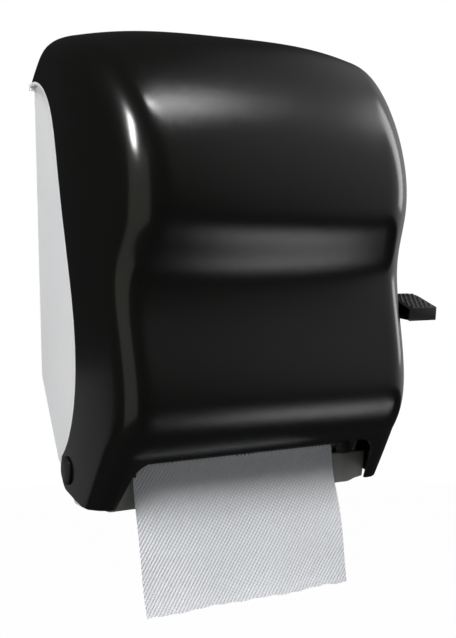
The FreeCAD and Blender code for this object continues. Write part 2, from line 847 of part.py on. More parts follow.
def towel_tail():
    """The towel's free end: off the roll, round the drive roller, through the nip and out of the mouth."""
    half_sheet = size("sheet_thickness") / 2
    roll = (size("roll_depth"), size("roll_height"))
    drive = drive_place()
    press = press_place()
    roll_reach = size("roll_radius + sheet_gap") + half_sheet
    drive_reach = size("drive_radius + sheet_gap") + half_sheet
    gap = (drive[0] - roll[0], drive[1] - roll[1])
    distance = math.hypot(*gap)
    lean = (roll_reach + drive_reach) / distance
    cross = math.sqrt(1 - lean**2)
    normal = (
        (lean * gap[0] - cross * gap[1]) / distance,
        (lean * gap[1] + cross * gap[0]) / distance,
    )
    contact = math.atan2(-normal[1], -normal[0]) % (2 * math.pi)
    nip = math.atan2(press[1] - drive[1], press[0] - drive[0]) % (2 * math.pi)

    def round_drive(angle, reach):
        """A point round the drive roller's axis."""
        return spot(0, drive[0] + reach * math.cos(angle), drive[1] + reach * math.sin(angle))

    def off_roll(reach):
        """Where the sheet leaves the roll, at a distance from the roll's axis."""
        return spot(0, roll[0] + reach * normal[0], roll[1] + reach * normal[1])

    tail = named_stations("tail_knee", "tail_middle", "tail_end")
    exit_point = round_drive(nip, drive_reach)
    outer_side, inner_side = offset_pair([exit_point] + tail, half_sheet)
    edges = []
    for reach, curve, at_roll in (
        (drive_reach - half_sheet, inner_side, roll_reach + half_sheet),
        (drive_reach + half_sheet, outer_side, roll_reach - half_sheet),
    ):
        bend = [round_drive(angle, reach) for angle in (contact, (contact + nip) / 2, nip)]
        curve = min((inner_side, outer_side), key=lambda points: (points[0] - bend[2]).Length)
        curve = [bend[2]] + curve[1:]
        edges.append([Part.makeLine(off_roll(at_roll), bend[0]), Part.Arc(*bend).toShape(), smooth(curve).toShape(), curve[-1]])
    first, second = edges
    ends = [
        Part.makeLine(first[3], second[3]),
        Part.makeLine(off_roll(roll_reach + half_sheet), off_roll(roll_reach - half_sheet)),
    ]
    outline = Part.__sortEdges__(first[:3] + second[:3] + ends)
    wide = size("towel_width")
    return prism(outline, -wide / 2, wide)


# ---- pieces of the wall unit -------------------------------------------------------------------

solid_piece("back_chassis", back_chassis())

DRIVE_DEPTH = "(lever_depth + drive_offset_depth)"
DRIVE_HEIGHT = (
    "(lever_height - sqrt((gear_module * (sector_teeth + pinion_teeth) / 2)^2 - drive_offset_depth^2))"
)
NIP_REACH = "(drive_radius + press_radius + sheet_thickness + 2 * sheet_gap)"
PRESS_DEPTH = f"({DRIVE_DEPTH} - sqrt({NIP_REACH}^2 - press_drop^2))"
PRESS_HEIGHT = f"({DRIVE_HEIGHT} - press_drop)"

FRAME_CORNERS = [
    side("plate_thickness + seat_gap", "panel_foot_height + 8"),
    side("plate_thickness + seat_gap", "flange_top"),
    side("transfer_depth + 14", "transfer_height + 14"),
    side("lever_depth + 18", "lever_height + 20"),
    side(f"{DRIVE_DEPTH} + 18", f"{DRIVE_HEIGHT} + 24"),
    side(f"{DRIVE_DEPTH} + 20", f"{DRIVE_HEIGHT} - 8"),
    side("blade_depth + blade_thickness + carrier_depth + 5", "blade_foot - 3"),
    side("front_rod_depth + 10", "front_rod_height - 14"),
    side("heel_depth + 8", "heel_height + 6"),
]

for way, name in (("1", "right"), ("-1", "left")):
    start = "frame_half" if way == "1" else "-frame_half - frame_thickness"
    holes = [
        side(DRIVE_DEPTH, DRIVE_HEIGHT) + ("drive_shaft_radius + bush_wall + 2 * running_gap",),
        side("transfer_depth", "transfer_height") + ("transfer_pin_radius + running_gap",),
    ]
    if name == "right":
        bush = "lever_shaft_radius + bush_wall + 2 * running_gap"
        holes.append(side("lever_depth", "lever_height") + (bush,))
    frame = plate("frame_" + name, FRAME_CORNERS, holes, start, "frame_thickness")
    flange_start = "frame_thickness" if way == "1" else "-flange_width"
    flange = block(
        frame,
        f"flange_{name}",
        flange_start,
        "plate_thickness + seat_gap",
        "flange_foot",
        "flange_width",
        "frame_thickness",
        "flange_top - flange_foot",
    )
    block(
        frame,
        f"slot_{name}",
        "-1",
        f"{PRESS_DEPTH} - block_length / 2 - seat_gap",
        f"{PRESS_HEIGHT} - block_width / 2 - seat_gap",
        "frame_thickness + 2",
        "block_length + 2 * seat_gap",
        "block_width + 2 * seat_gap",
        "Subtractive",
    )
    tab_start = "-5" if way == "1" else "frame_thickness"
    block(
        frame,
        f"tab_{name}",
        tab_start,
        f"{PRESS_DEPTH} - block_length / 2 - press_spring_length - frame_thickness",
        f"{PRESS_HEIGHT} - block_width / 2",
        "5",
        "frame_thickness",
        "block_width",
    )
    reach = "frame_thickness + flange_screw_reach" if way == "1" else "-flange_screw_reach"
    rounds = [(reach, f"{height} - screw_height", "small_screw_radius + running_gap") for height in ("flange_screw_low", "flange_screw_high")]
    drilled = draw(frame, f"flange_holes_{name}", "XZ_Plane", rounds=rounds)
    cut = frame.newObject("PartDesign::Pocket", f"flange_drill_{name}")
    cut.Profile = drilled
    cut.Type = "ThroughAll"
    cut.Midplane = True
    finish(frame, "frame_" + name)


def small_screws(label, places, seat_depth):
    """Pan-head screws that enter from the room side and reach into the wall plate."""
    members = []
    for index, (x, height) in enumerate(places):
        body = doc.addObject("PartDesign::Body", f"{label}_{index}")
        sketch = draw(
            body,
            f"{label}_{index}_section",
            "XY_Plane",
            [
                ("0", "0"),
                ("small_screw_radius - running_gap", "0"),
                ("small_screw_radius - running_gap", f"-({seat_depth})"),
                ("small_head_radius", f"-({seat_depth})"),
                ("small_head_radius", f"-({seat_depth}) - small_head_height * 0.6"),
                ("small_head_radius * 0.7", f"-({seat_depth}) - small_head_height"),
                ("0", f"-({seat_depth}) - small_head_height"),
            ],
        )
        feature = body.newObject("PartDesign::Revolution", f"{label}_{index}_turn")
        feature.Profile = sketch
        feature.ReferenceAxis = (sketch, ["V_Axis"])
        feature.Angle = 360
        bind(body, "Placement.Base.x", x)
        bind(body, "Placement.Base.y", "-0.5")
        bind(body, "Placement.Base.z", f"({height}) - screw_height")
        members.append(body)
    return group(label, members)


FRAME_SCREW_X = "(frame_half + frame_thickness + flange_screw_reach)"
ARM_SCREW_X = "(arm_half + arm_thickness + flange_screw_reach)"
FLANGE_FACE = "plate_thickness + seat_gap + frame_thickness - 0.5"
small_screws(
    "frame_screws",
    [(f"{way}*{FRAME_SCREW_X}", height) for way in ("1", "-1") for height in ("flange_screw_low", "flange_screw_high")],
    FLANGE_FACE,
)
small_screws(
    "arm_screws",
    [(f"{way}*{ARM_SCREW_X}", height) for way in ("1", "-1") for height in ("arm_foot + 14", "arm_top - 14")],
    FLANGE_FACE,
)

# two rods tie the frame plates together
rods = []
for name in ("rear_rod", "front_rod"):
    corners = tube("-frame_half", "frame_half", "0", "rod_radius")
    rods.append(turned(name, corners, name + "_depth", name + "_height"))
group("tie_rods", rods)

# roll arms: tapering arms with a flange on the wall plate and a pin that carries the roll's hub
ARM_CORNERS = [
    side("plate_thickness + seat_gap", "arm_foot"),
    side("plate_thickness + seat_gap", "arm_top"),
    side("roll_depth * 0.4", "roll_height + 20"),
    side("roll_depth + 2", "roll_height + 12"),
    side("roll_depth + 12", "roll_height + 5"),
    side("roll_depth + 12", "roll_height - 5"),
    side("roll_depth + 2", "roll_height - 12"),
    side("roll_depth * 0.4", "roll_height - 20"),
]
for way, name in ((1, "right"), (-1, "left")):
    start = "arm_half" if way == 1 else "-arm_half - arm_thickness"
    arm = plate("roll_arm_" + name, ARM_CORNERS, [], start, "arm_thickness")
    block(
        arm,
        f"arm_flange_{name}",
        "arm_thickness" if way == 1 else "-flange_width",
        "plate_thickness + seat_gap",
        "arm_foot",
        "flange_width",
        "frame_thickness",
        "arm_top - arm_foot",
    )
    reach = "arm_thickness + flange_screw_reach" if way == 1 else "-flange_screw_reach"
    rounds = [(reach, f"({height}) - screw_height", "small_screw_radius + running_gap") for height in ("arm_foot + 14", "arm_top - 14")]
    drilled = draw(arm, f"arm_holes_{name}", "XZ_Plane", rounds=rounds)
    cut = arm.newObject("PartDesign::Pocket", f"arm_drill_{name}")
    cut.Profile = drilled
    cut.Type = "ThroughAll"
    cut.Midplane = True
    pin = draw(
        arm,
        f"arm_pin_{name}",
        "YZ_Plane",
        rounds=[side("roll_depth", "roll_height") + ("hub_pin_radius",)],
        offset="-hub_plug_length" if way == 1 else "arm_thickness",
    )
    pad(arm, pin, "hub_plug_length")
    finish(arm, "roll_arm_" + name)

# the cradle that a nearly used roll is dropped into


def cradle_face():
    """A round trough open to the top and front."""
    centre = spot(0, size("cradle_depth"), size("cradle_height"))
    inner = size("cradle_radius")
    outer = inner + size("cradle_thickness")
    turns = [math.radians(angle) for angle in (200, 265, 330)]

    def at(radius, turn):
        return centre + Vector(0, -radius * math.cos(turn), radius * math.sin(turn))

    hollow = [at(inner, turn) for turn in turns]
    skin = [at(outer, turn) for turn in turns]
    return [
        Part.Arc(*hollow).toShape(),
        Part.makeLine(hollow[2], skin[2]),
        Part.Arc(*skin[::-1]).toShape(),
        Part.makeLine(skin[0], hollow[0]),
    ]


frame_gap = size("seat_gap")
solid_piece("stub_cradle", prism(cradle_face(), -size("frame_half") + frame_gap, 2 * size("frame_half") - 2 * frame_gap))

# the transfer bar: two arms and a cross bar that tucks a new roll's end into the nip
transfer = doc.addObject("PartDesign::Body", "transfer_bar")
half_wide = "transfer_width / 2"
TRANSFER_CORNERS = [
    side(f"transfer_depth - {half_wide}", f"transfer_height - {half_wide}"),
    side(f"transfer_depth - {half_wide}", f"transfer_height + {half_wide}"),
    side(f"transfer_depth + {half_wide}", f"transfer_height + {half_wide}"),
    side(f"transfer_end_depth + {half_wide}", f"transfer_end_height + {half_wide}"),
    side(f"transfer_end_depth + {half_wide}", f"transfer_end_height - {half_wide}"),
    side(f"transfer_end_depth - {half_wide}", f"transfer_end_height - {half_wide}"),
]
for start, name in (("transfer_half", "right"), ("-transfer_half - transfer_thickness", "left")):
    sketch = draw(transfer, f"transfer_arm_{name}", "YZ_Plane", TRANSFER_CORNERS, offset=start)
    pad(transfer, sketch, "transfer_thickness")
    if name == "right":
        block(
            transfer,
            "transfer_cross_bar",
            "-transfer_half - 1",
            "transfer_end_depth - transfer_width / 2",
            "transfer_end_height - 2",
            "2 * transfer_half + 2",
            "transfer_width",
            "4",
        )
for start, name in (
    ("transfer_half + transfer_thickness", "right"),
    ("-frame_half - frame_thickness", "left"),
):
    pin = draw(
        transfer,
        f"transfer_pin_{name}",
        "YZ_Plane",
        rounds=[side("transfer_depth", "transfer_height") + ("transfer_pin_radius",)],
        offset=start,
    )
    pad(transfer, pin, "frame_half + frame_thickness - transfer_half - transfer_thickness")
finish(transfer, "transfer_bar")

# tear bar, its carrier and the guide behind the towel
blade = doc.addObject("PartDesign::Body", "tear_bar")
tooth_count = int(size("(2 * roller_half_length) / blade_pitch"))
blade_corners = [
    ("roller_half_length", "blade_foot + blade_height - screw_height"),
    ("-roller_half_length", "blade_foot + blade_height - screw_height"),
]
pitch = f"(2 * roller_half_length / {tooth_count})"
for index in range(tooth_count):
    blade_corners.append((f"-roller_half_length + {index}*{pitch}", "blade_foot + blade_tooth_height - screw_height"))
    blade_corners.append((f"-roller_half_length + {index + 0.5}*{pitch}", "blade_foot - screw_height"))
blade_corners.append(("roller_half_length", "blade_foot + blade_tooth_height - screw_height"))
pad(blade, draw(blade, "tear_bar_outline", "XZ_Plane", blade_corners), "blade_thickness")
bind(blade, "Placement.Base.y", "-blade_depth")
finish(blade, "tear_bar")

CARRIER_REAR = "blade_depth + blade_thickness"
CARRIER_CORNERS = [
    side(CARRIER_REAR, "blade_foot + blade_height - carrier_height + 1"),
    side(CARRIER_REAR, "blade_foot + blade_height + 1"),
    side(f"{CARRIER_REAR} + carrier_depth * 0.6", "blade_foot + blade_height + 1"),
    side(f"{CARRIER_REAR} + carrier_depth", "blade_foot + blade_height - 4"),
    side(f"{CARRIER_REAR} + carrier_depth", "blade_foot + blade_height - carrier_height + 1"),
]
carrier = plate("tear_bar_carrier", CARRIER_CORNERS, [], "-frame_half + seat_gap", "2 * (frame_half - seat_gap)")
for start, name in (("0", "left"), ("2 * (frame_half - seat_gap) - carrier_block_width + 1", "right")):
    block(
        carrier,
        f"carrier_end_{name}",
        start,
        CARRIER_REAR,
        "blade_foot - 6",
        "carrier_block_width - 1",
        "carrier_depth",
        "blade_height + 7",
    )
finish(carrier, "tear_bar_carrier")

GUIDE_FRONT = "tail_knee_depth - guide_gap"
GUIDE_CORNERS = [
    side("front_rod_depth - 2", "guide_height"),
    side(f"{GUIDE_FRONT} - guide_thickness - 2", "guide_height"),
    side(GUIDE_FRONT, "guide_height - 4"),
    side(GUIDE_FRONT, "apron_lip_height + 4"),
    side(f"{GUIDE_FRONT} - guide_thickness", "apron_lip_height + 4"),
    side(f"{GUIDE_FRONT} - guide_thickness", "guide_height - 5"),
    side(f"{GUIDE_FRONT} - guide_thickness - 3", "guide_height - guide_thickness"),
    side("front_rod_depth - 2", "guide_height - guide_thickness"),
]
finish(plate("paper_guide", GUIDE_CORNERS, [], "-frame_half + seat_gap", "2 * (frame_half - seat_gap)"), "paper_guide")

# bushes
bushes = []
for way, name in (("1", "right"), ("-1", "left")):
    inside = f"{way}*(frame_half - bush_flange)"
    step = f"{way}*frame_half"
    outside = f"{way}*(frame_half + frame_thickness)"
    corners = [
        (inside, "drive_shaft_radius + running_gap"),
        (outside, "drive_shaft_radius + running_gap"),
        (outside, "drive_shaft_radius + bush_wall + running_gap"),
        (step, "drive_shaft_radius + bush_wall + running_gap"),
        (step, "drive_shaft_radius + bush_wall + bush_flange"),
        (inside, "drive_shaft_radius + bush_wall + bush_flange"),
    ]
    bushes.append(turned("drive_bush_" + name, corners, DRIVE_DEPTH, DRIVE_HEIGHT))
group("drive_bushes", bushes)

PANEL_OUT = "(cover_width / 2 - panel_inset)"
lever_bushes = []
for name, inside, outside in (
    ("frame", "frame_half", "(frame_half + frame_thickness)"),
    ("panel", f"({PANEL_OUT} - panel_thickness)", PANEL_OUT),
):
    corners = [
        (f"{inside} - 1", "lever_shaft_radius + running_gap"),
        (outside, "lever_shaft_radius + running_gap"),
        (outside, "lever_shaft_radius + bush_wall + running_gap"),
        (inside, "lever_shaft_radius + bush_wall + running_gap"),
        (inside, "lever_shaft_radius + bush_wall + bush_flange"),
        (f"{inside} - 1", "lever_shaft_radius + bush_wall + bush_flange"),
    ]
    lever_bushes.append(turned("lever_bush_" + name, corners, "lever_depth", "lever_height"))
group("lever_bushes", lever_bushes)

# hinge pins with a domed cap outside the cover's ear
COVER_HALF = "(cover_width / 2)"
for way, name in (("1", "right"), ("-1", "left")):
    corners = [
        (f"{way}*({PANEL_OUT} - panel_thickness)", "0"),
        (f"{way}*({PANEL_OUT} - panel_thickness)", "hinge_shank_radius"),
        (f"{way}*{PANEL_OUT}", "hinge_shank_radius"),
        (f"{way}*{PANEL_OUT}", "hinge_journal_radius"),
        (f"{way}*({COVER_HALF} + seat_gap)", "hinge_journal_radius"),
        (f"{way}*({COVER_HALF} + seat_gap)", "hinge_cap_radius"),
        (f"{way}*({COVER_HALF} + seat_gap + hinge_cap_edge)", "hinge_cap_radius"),
        (f"{way}*({COVER_HALF} + seat_gap + hinge_cap_edge + hinge_cap_dome * 0.45)", "hinge_cap_radius * 0.8"),
        (f"{way}*({COVER_HALF} + seat_gap + hinge_cap_edge + hinge_cap_dome * 0.85)", "hinge_cap_radius * 0.45"),
        (f"{way}*({COVER_HALF} + seat_gap + hinge_cap_edge + hinge_cap_dome)", "0"),
    ]
    finish(turned("hinge_pin_" + name, corners, "hinge_depth", "hinge_height"), "hinge_pin_" + name)

# ---- cover and lock ----------------------------------------------------------------------------

solid_piece("front_cover", front_cover())

barrel = doc.addObject("PartDesign::Body", "lock_barrel")
LOCK_CORNERS = [
    ("0", "cam_height + cam_thickness"),
    ("lock_tail_radius", "cam_height + cam_thickness"),
    ("lock_tail_radius", "cover_height - lock_body_length - 1"),
    ("lock_radius", "cover_height - lock_body_length - 1"),
    ("lock_radius", "cover_height + seat_gap + running_gap"),
    ("lock_flange_radius", "cover_height + seat_gap + running_gap"),
    ("lock_flange_radius", "cover_height + lock_flange_height"),
    ("0", "cover_height + lock_flange_height"),
]
section = draw(barrel, "lock_section", "XZ_Plane", LOCK_CORNERS)
turn = barrel.newObject("PartDesign::Revolution", "lock_turn")
turn.Profile = section
turn.ReferenceAxis = (section, ["V_Axis"])
turn.Angle = 360
slot = barrel.newObject("PartDesign::SubtractiveBox", "key_slot")
bind(slot, "Length", "1.6")
bind(slot, "Width", "lock_radius * 1.3")
bind(slot, "Height", "6")
bind(slot, "Placement.Base.x", "-0.8")
bind(slot, "Placement.Base.y", "-lock_radius * 0.65")
bind(slot, "Placement.Base.z", "cover_height + lock_flange_height - 5")
bind(barrel, "Placement.Base.y", "-apex_depth")
bind(barrel, "Placement.Base.z", "-screw_height")
finish(barrel, "lock_barrel")

cam = doc.addObject("Part::Box", "lock_cam")
bind(cam, "Length", "cam_width")
bind(cam, "Width", "cam_length")
bind(cam, "Height", "cam_thickness")
bind(cam, "Placement.Base.x", "-cam_width / 2")
bind(cam, "Placement.Base.y", "-apex_depth - cam_width / 2")
bind(cam, "Placement.Base.z", "cam_height - screw_height")
finish(cam, "lock_cam")

# ---- lever -------------------------------------------------------------------------------------

LEVER_START = "(cover_width / 2 + lever_gap)"
lever = doc.addObject("PartDesign::Body", "lever_arm")
ARM_OUTLINE = [
    side("lever_depth - 8", "lever_height - 11.5"),
    side("lever_depth + 8", "lever_height - 11.5"),
    side("paddle_rear_depth + 4", "paddle_rear_height - 31"),
    side("paddle_front_depth - 4", "paddle_front_height - paddle_thickness - 1"),
    side("paddle_front_depth", "paddle_front_height"),
    side("paddle_rear_depth", "paddle_rear_height"),
    side("paddle_rear_depth - 14", "paddle_rear_height - 5"),
    side("lever_depth - 10", "lever_height + 10"),
]
arm_sketch = draw(lever, "lever_outline", "YZ_Plane", ARM_OUTLINE)
pad(lever, arm_sketch, "lever_thickness")
hub_sketch = draw(lever, "lever_hub", "YZ_Plane", rounds=[side("lever_depth", "lever_height") + ("lever_hub_radius",)])
pad(lever, hub_sketch, "lever_thickness")
PADDLE = [
    side("paddle_rear_depth", "paddle_rear_height"),
    side("paddle_front_depth", "paddle_front_height"),
    side("paddle_front_depth - 1.5", "paddle_front_height - paddle_thickness"),
    side("paddle_rear_depth - 1", "paddle_rear_height - paddle_thickness - 1"),
]
pad(lever, draw(lever, "paddle_outline", "YZ_Plane", PADDLE), f"lever_reach - {LEVER_START}")
slope = "(paddle_rear_height - paddle_front_height) / (paddle_front_depth - paddle_rear_depth)"
HOLLOW = [
    side("paddle_rear_depth + paddle_skin", f"paddle_rear_height - paddle_skin * 1.1 - paddle_skin * {slope}"),
    side("paddle_front_depth - paddle_skin", f"paddle_front_height - paddle_skin * 1.1 + paddle_skin * {slope}"),
    side("paddle_front_depth - paddle_skin - 1.5", "paddle_front_height - paddle_thickness - 6"),
    side("paddle_rear_depth + paddle_skin - 1", "paddle_rear_height - paddle_thickness - 10"),
]
hollow_sketch = draw(lever, "paddle_hollow", "YZ_Plane", HOLLOW, offset="lever_thickness")
pocket(lever, hollow_sketch, f"lever_reach - {LEVER_START} - lever_thickness - paddle_skin")
bore_sketch = draw(lever, "lever_bore", "YZ_Plane", rounds=[side("lever_depth", "lever_height") + ("lever_shaft_radius",)])
pocket(lever, bore_sketch, "lever_thickness - 2")
screw_sketch = draw(lever, "lever_screw_hole", "YZ_Plane", rounds=[side("lever_depth", "lever_height") + ("2.2",)])
pocket(lever, screw_sketch, "lever_thickness")
bind(lever, "Placement.Base.x", LEVER_START)
finish(lever, "lever_arm")

shaft_corners = [
    ("lever_shaft_start", "0"),
    ("lever_shaft_start", "lever_shaft_radius"),
    (f"{LEVER_START} + lever_thickness - 2", "lever_shaft_radius"),
    (f"{LEVER_START} + lever_thickness - 2", "2"),
    (f"{LEVER_START} + lever_thickness - 14", "2"),
    (f"{LEVER_START} + lever_thickness - 14", "0"),
]
finish(turned("lever_shaft", shaft_corners, "lever_depth", "lever_height"), "lever_shaft")

screw_corners = [
    (f"{LEVER_START} + lever_thickness - 13.5", "0"),
    (f"{LEVER_START} + lever_thickness - 13.5", "1.95"),
    (f"{LEVER_START} + lever_thickness", "1.95"),
    (f"{LEVER_START} + lever_thickness", "6"),
    (f"{LEVER_START} + lever_thickness + 1.6", "6"),
    (f"{LEVER_START} + lever_thickness + 2.8", "4"),
    (f"{LEVER_START} + lever_thickness + 2.8", "0"),
]
finish(turned("lever_screw", screw_corners, "lever_depth", "lever_height"), "lever_screw")

clip_corners = tube("lever_shaft_start + 0.6", "lever_shaft_start + 1.6", "lever_shaft_radius", "lever_shaft_radius + 2.5")
finish(turned("lever_clip", clip_corners, "lever_depth", "lever_height"), "lever_clip")

solid_piece("sector_gear", sector_gear())
solid_piece("drive_pinion", drive_pinion())
clutch = tube("gear_start", "gear_start + gear_width + 2", "drive_shaft_radius + running_gap", "clutch_radius")
finish(turned("one_way_clutch", clutch, DRIVE_DEPTH, DRIVE_HEIGHT), "one_way_clutch")
solid_piece("return_spring", return_spring())

# ---- rollers -----------------------------------------------------------------------------------

DRIVE_END = "gear_start + gear_width + 4"
drive_axle = tube("-frame_half - frame_thickness - 3", DRIVE_END, "0", "drive_shaft_radius")
finish(turned("drive_shaft", drive_axle, DRIVE_DEPTH, DRIVE_HEIGHT), "drive_shaft")


def tyre_starts(count=4):
    """Where evenly spaced rubber tyres start along a roller."""
    room = "(2 * roller_half_length - 12 - tyre_width)"
    return [f"(-roller_half_length + 6 + {index}*{room}/{count - 1})" for index in range(count)]


def roller(label, core, tyre, depth, height, axle):
    """A roller's plastic core with shallow seats, and the rubber tyres that sit in them."""
    seat = f"({core} - 1)"
    corners = [("-roller_half_length", axle)]
    corners.append(("-roller_half_length", core))
    for start in tyre_starts():
        corners.append((start, core))
        corners.append((start, seat))
        corners.append((f"{start} + tyre_width", seat))
        corners.append((f"{start} + tyre_width", core))
    corners.append(("roller_half_length", core))
    corners.append(("roller_half_length", axle))
    finish(turned(label, corners, depth, height), label)
    tyres = []
    for index, start in enumerate(tyre_starts()):
        ring = tube(start, f"{start} + tyre_width", seat, tyre)
        tyres.append(turned(f"{label}_tyre_{index}", ring, depth, height))
    group(label + "_tyres", tyres)


roller("drive_roller", "drive_core_radius", "drive_radius", DRIVE_DEPTH, DRIVE_HEIGHT, "drive_shaft_radius")
roller("press_roller", "press_core_radius", "press_radius", PRESS_DEPTH, PRESS_HEIGHT, "press_shaft_radius")
press_axle = tube("-frame_half - 2", "frame_half + 2", "0", "press_shaft_radius")
finish(turned("press_shaft", press_axle, PRESS_DEPTH, PRESS_HEIGHT), "press_shaft")

blocks = []
for start, name in (("frame_half - 5.5", "right"), ("-frame_half - frame_thickness", "left")):
    body = doc.addObject("PartDesign::Body", "press_block_" + name)
    corners = [
        side(f"{PRESS_DEPTH} - block_length / 2", f"{PRESS_HEIGHT} - block_width / 2"),
        side(f"{PRESS_DEPTH} + block_length / 2", f"{PRESS_HEIGHT} - block_width / 2"),
        side(f"{PRESS_DEPTH} + block_length / 2", f"{PRESS_HEIGHT} + block_width / 2"),
        side(f"{PRESS_DEPTH} - block_length / 2", f"{PRESS_HEIGHT} + block_width / 2"),
    ]
    hole = [side(PRESS_DEPTH, PRESS_HEIGHT) + ("press_shaft_radius + running_gap",)]
    pad(body, draw(body, f"block_outline_{name}", "YZ_Plane", corners, hole), "frame_thickness + 5.5")
    bind(body, "Placement.Base.x", start)
    blocks.append(body)
group("press_blocks", blocks)
solid_piece("press_springs", press_springs())

# ---- towel roll --------------------------------------------------------------------------------

HALF_TOWEL = "(towel_width / 2)"
for way, name in (("1", "right"), ("-1", "left")):
    corners = [
        (f"{way}*({HALF_TOWEL} - hub_plug_length + 4)", "hub_pin_radius + running_gap"),
        (f"{way}*({HALF_TOWEL} + seat_gap + hub_flange)", "hub_pin_radius + running_gap"),
        (f"{way}*({HALF_TOWEL} + seat_gap + hub_flange)", "hub_flange_radius"),
        (f"{way}*({HALF_TOWEL} + seat_gap)", "hub_flange_radius"),
        (f"{way}*({HALF_TOWEL} + seat_gap)", "core_radius - core_wall - running_gap"),
        (f"{way}*({HALF_TOWEL} - hub_plug_length + 4)", "core_radius - core_wall - running_gap"),
    ]
    finish(turned("roll_hub_" + name, corners, "roll_depth", "roll_height"), "roll_hub_" + name)
core = tube(f"-{HALF_TOWEL}", HALF_TOWEL, "core_radius - core_wall", "core_radius")
finish(turned("roll_core", core, "roll_depth", "roll_height"), "roll_core")
towel = tube(f"-{HALF_TOWEL}", HALF_TOWEL, "core_radius", "roll_radius")
finish(turned("towel_roll", towel, "roll_depth", "roll_height"), "towel_roll")
solid_piece("towel_tail", towel_tail())

# ---- checks and files --------------------------------------------------------------------------

doc.recompute()
for thing in doc.Objects:
    if "Invalid" in thing.State or "Error" in thing.State:
        raise RuntimeError(f"{thing.Label} is in state {thing.State}")
for thing in pieces:
    if thing.Shape.isNull() or not thing.Shape.isValid():
        raise RuntimeError(f"{thing.Label} has no valid shape")
    if not thing.Shape.Solids:
        raise RuntimeError(f"{thing.Label} has no solid")

os.makedirs("parts", exist_ok=True)
for thing in pieces:
    thing.Shape.exportStep(f"parts/{thing.Label}.step")
print(len(pieces), "sub-parts written")
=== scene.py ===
import math

import bpy
import numpy as np
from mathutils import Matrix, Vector


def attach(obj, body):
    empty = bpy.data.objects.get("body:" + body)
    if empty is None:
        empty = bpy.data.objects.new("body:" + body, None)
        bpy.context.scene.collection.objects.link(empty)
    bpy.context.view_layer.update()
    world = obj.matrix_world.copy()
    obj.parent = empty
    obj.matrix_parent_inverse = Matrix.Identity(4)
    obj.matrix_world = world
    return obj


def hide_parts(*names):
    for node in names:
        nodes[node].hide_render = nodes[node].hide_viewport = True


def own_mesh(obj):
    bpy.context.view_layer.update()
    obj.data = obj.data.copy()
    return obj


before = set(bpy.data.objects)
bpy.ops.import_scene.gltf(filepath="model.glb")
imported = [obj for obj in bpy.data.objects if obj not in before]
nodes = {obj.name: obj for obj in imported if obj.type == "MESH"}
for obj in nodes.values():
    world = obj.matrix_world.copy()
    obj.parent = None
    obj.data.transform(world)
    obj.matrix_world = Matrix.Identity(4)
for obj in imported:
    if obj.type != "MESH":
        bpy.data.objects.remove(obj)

# Lever paper towel dispenser. +Z is up, +X is the user's right, the wall is the plane Y = 0 and the
# user stands on the -Y side.

bpy.ops.object.select_all(action="DESELECT")
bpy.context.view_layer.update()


# ---- viewpoint ----------------------------------------------------------------------------------
# One camera about 0.9 m away, 26 degrees to the left of the dispenser and level with its middle. Its
# long lens keeps the upright lines nearly parallel.

bpy.ops.object.camera_add(
    location=(-0.3872, -0.9143, -0.0298),
    rotation=(math.radians(87.0476), math.radians(0.9395), math.radians(-26.0747)),
)
viewpoint = bpy.context.object
viewpoint.name = "viewpoint"
viewpoint.data.sensor_fit = "HORIZONTAL"
viewpoint.data.sensor_width = 36.0
viewpoint.data.lens = 75.69
viewpoint.data.clip_start = 0.01
bpy.context.scene.camera = viewpoint
bpy.context.scene.view_settings.view_transform = "Standard"


# ---- lamps --------------------------------------------------------------------------------------
# A key light high at the left front, a light on the side panel and a strip at the right light the
# dispenser, the first two without showing in reflections. Five cards that show only in reflections draw
# the soft bands on the glossy cover.


def softbox(name, place, aim, wide, tall, watts, tint=(1.0, 1.0, 1.0)):
    """A rectangular lamp at a place, facing a point."""
    bpy.ops.object.light_add(type="AREA", location=place)
    lamp = bpy.context.object
    lamp.name = name
    lamp.data.shape = "RECTANGLE"
    lamp.data.size = wide
    lamp.data.size_y = tall
    lamp.data.energy = watts
    lamp.data.color = tint
    lamp.rotation_euler = (Vector(aim) - Vector(place)).to_track_quat("-Z", "Y").to_euler()
    return lamp


key_light = softbox("key_light", (-0.7, -1.1, 0.8), (-0.05, -0.2, -0.05), 0.5, 0.7, 22.0)
panel_light = softbox("panel_light", (-1.75, 0.0, 0.3), (-0.1, -0.1, 0.0), 0.9, 1.8, 10.4)
softbox("right_strip", (1.5, -0.38, 0.6), (0.1, -0.2, 0.0), 0.6, 1.6, 13.0)
key_light.visible_glossy = False
panel_light.visible_glossy = False
WARM_WHITE = (1.0, 1.0, 0.88)
CARDS = [  # name, place, aim, width, height, watts and tint
    ("glint_card", (-1.02, -0.62, 0.84), (-0.1, -0.2, 0.07), 0.2, 0.42, 16.0),
    ("top_card", (0.25, -0.61, 1.22), (0.25, -0.2, 0.1), 0.4, 0.06, 4.6),
    ("left_card", (-1.33, -0.95, -0.03), (-0.1, -0.2, 0.05), 1.4, 2.2, 5.2, WARM_WHITE),
    ("low_card", (0.6, -0.8, -0.85), (0.05, -0.21, -0.02), 0.44, 0.32, 1.5),
    ("rear_card", (-0.64, 0.99, -0.44), (-0.15, -0.1, -0.13), 0.8, 0.4, 0.17),
]
for card in CARDS:
    softbox(*card).visible_diffuse = False


# ---- floor --------------------------------------------------------------------------------------
# A pale round floor well below the dispenser. It is white to the camera and keeps a trace of the
# shadow, and reflections show it dark, so that the cover's underside stays black.


def add_node(owner, kind, **settings):
    """A node of a material or a world. Settings name inputs, with _ for a space, or attributes."""
    node = owner.node_tree.nodes.new(kind)
    for name, value in settings.items():
        socket = name.replace("_", " ")
        if socket in node.inputs:
            node.inputs[socket].default_value = value
        else:
            setattr(node, name, value)
    return node


def link(owner, source, target):
    """Join an output socket to an input socket."""
    owner.node_tree.links.new(source, target)


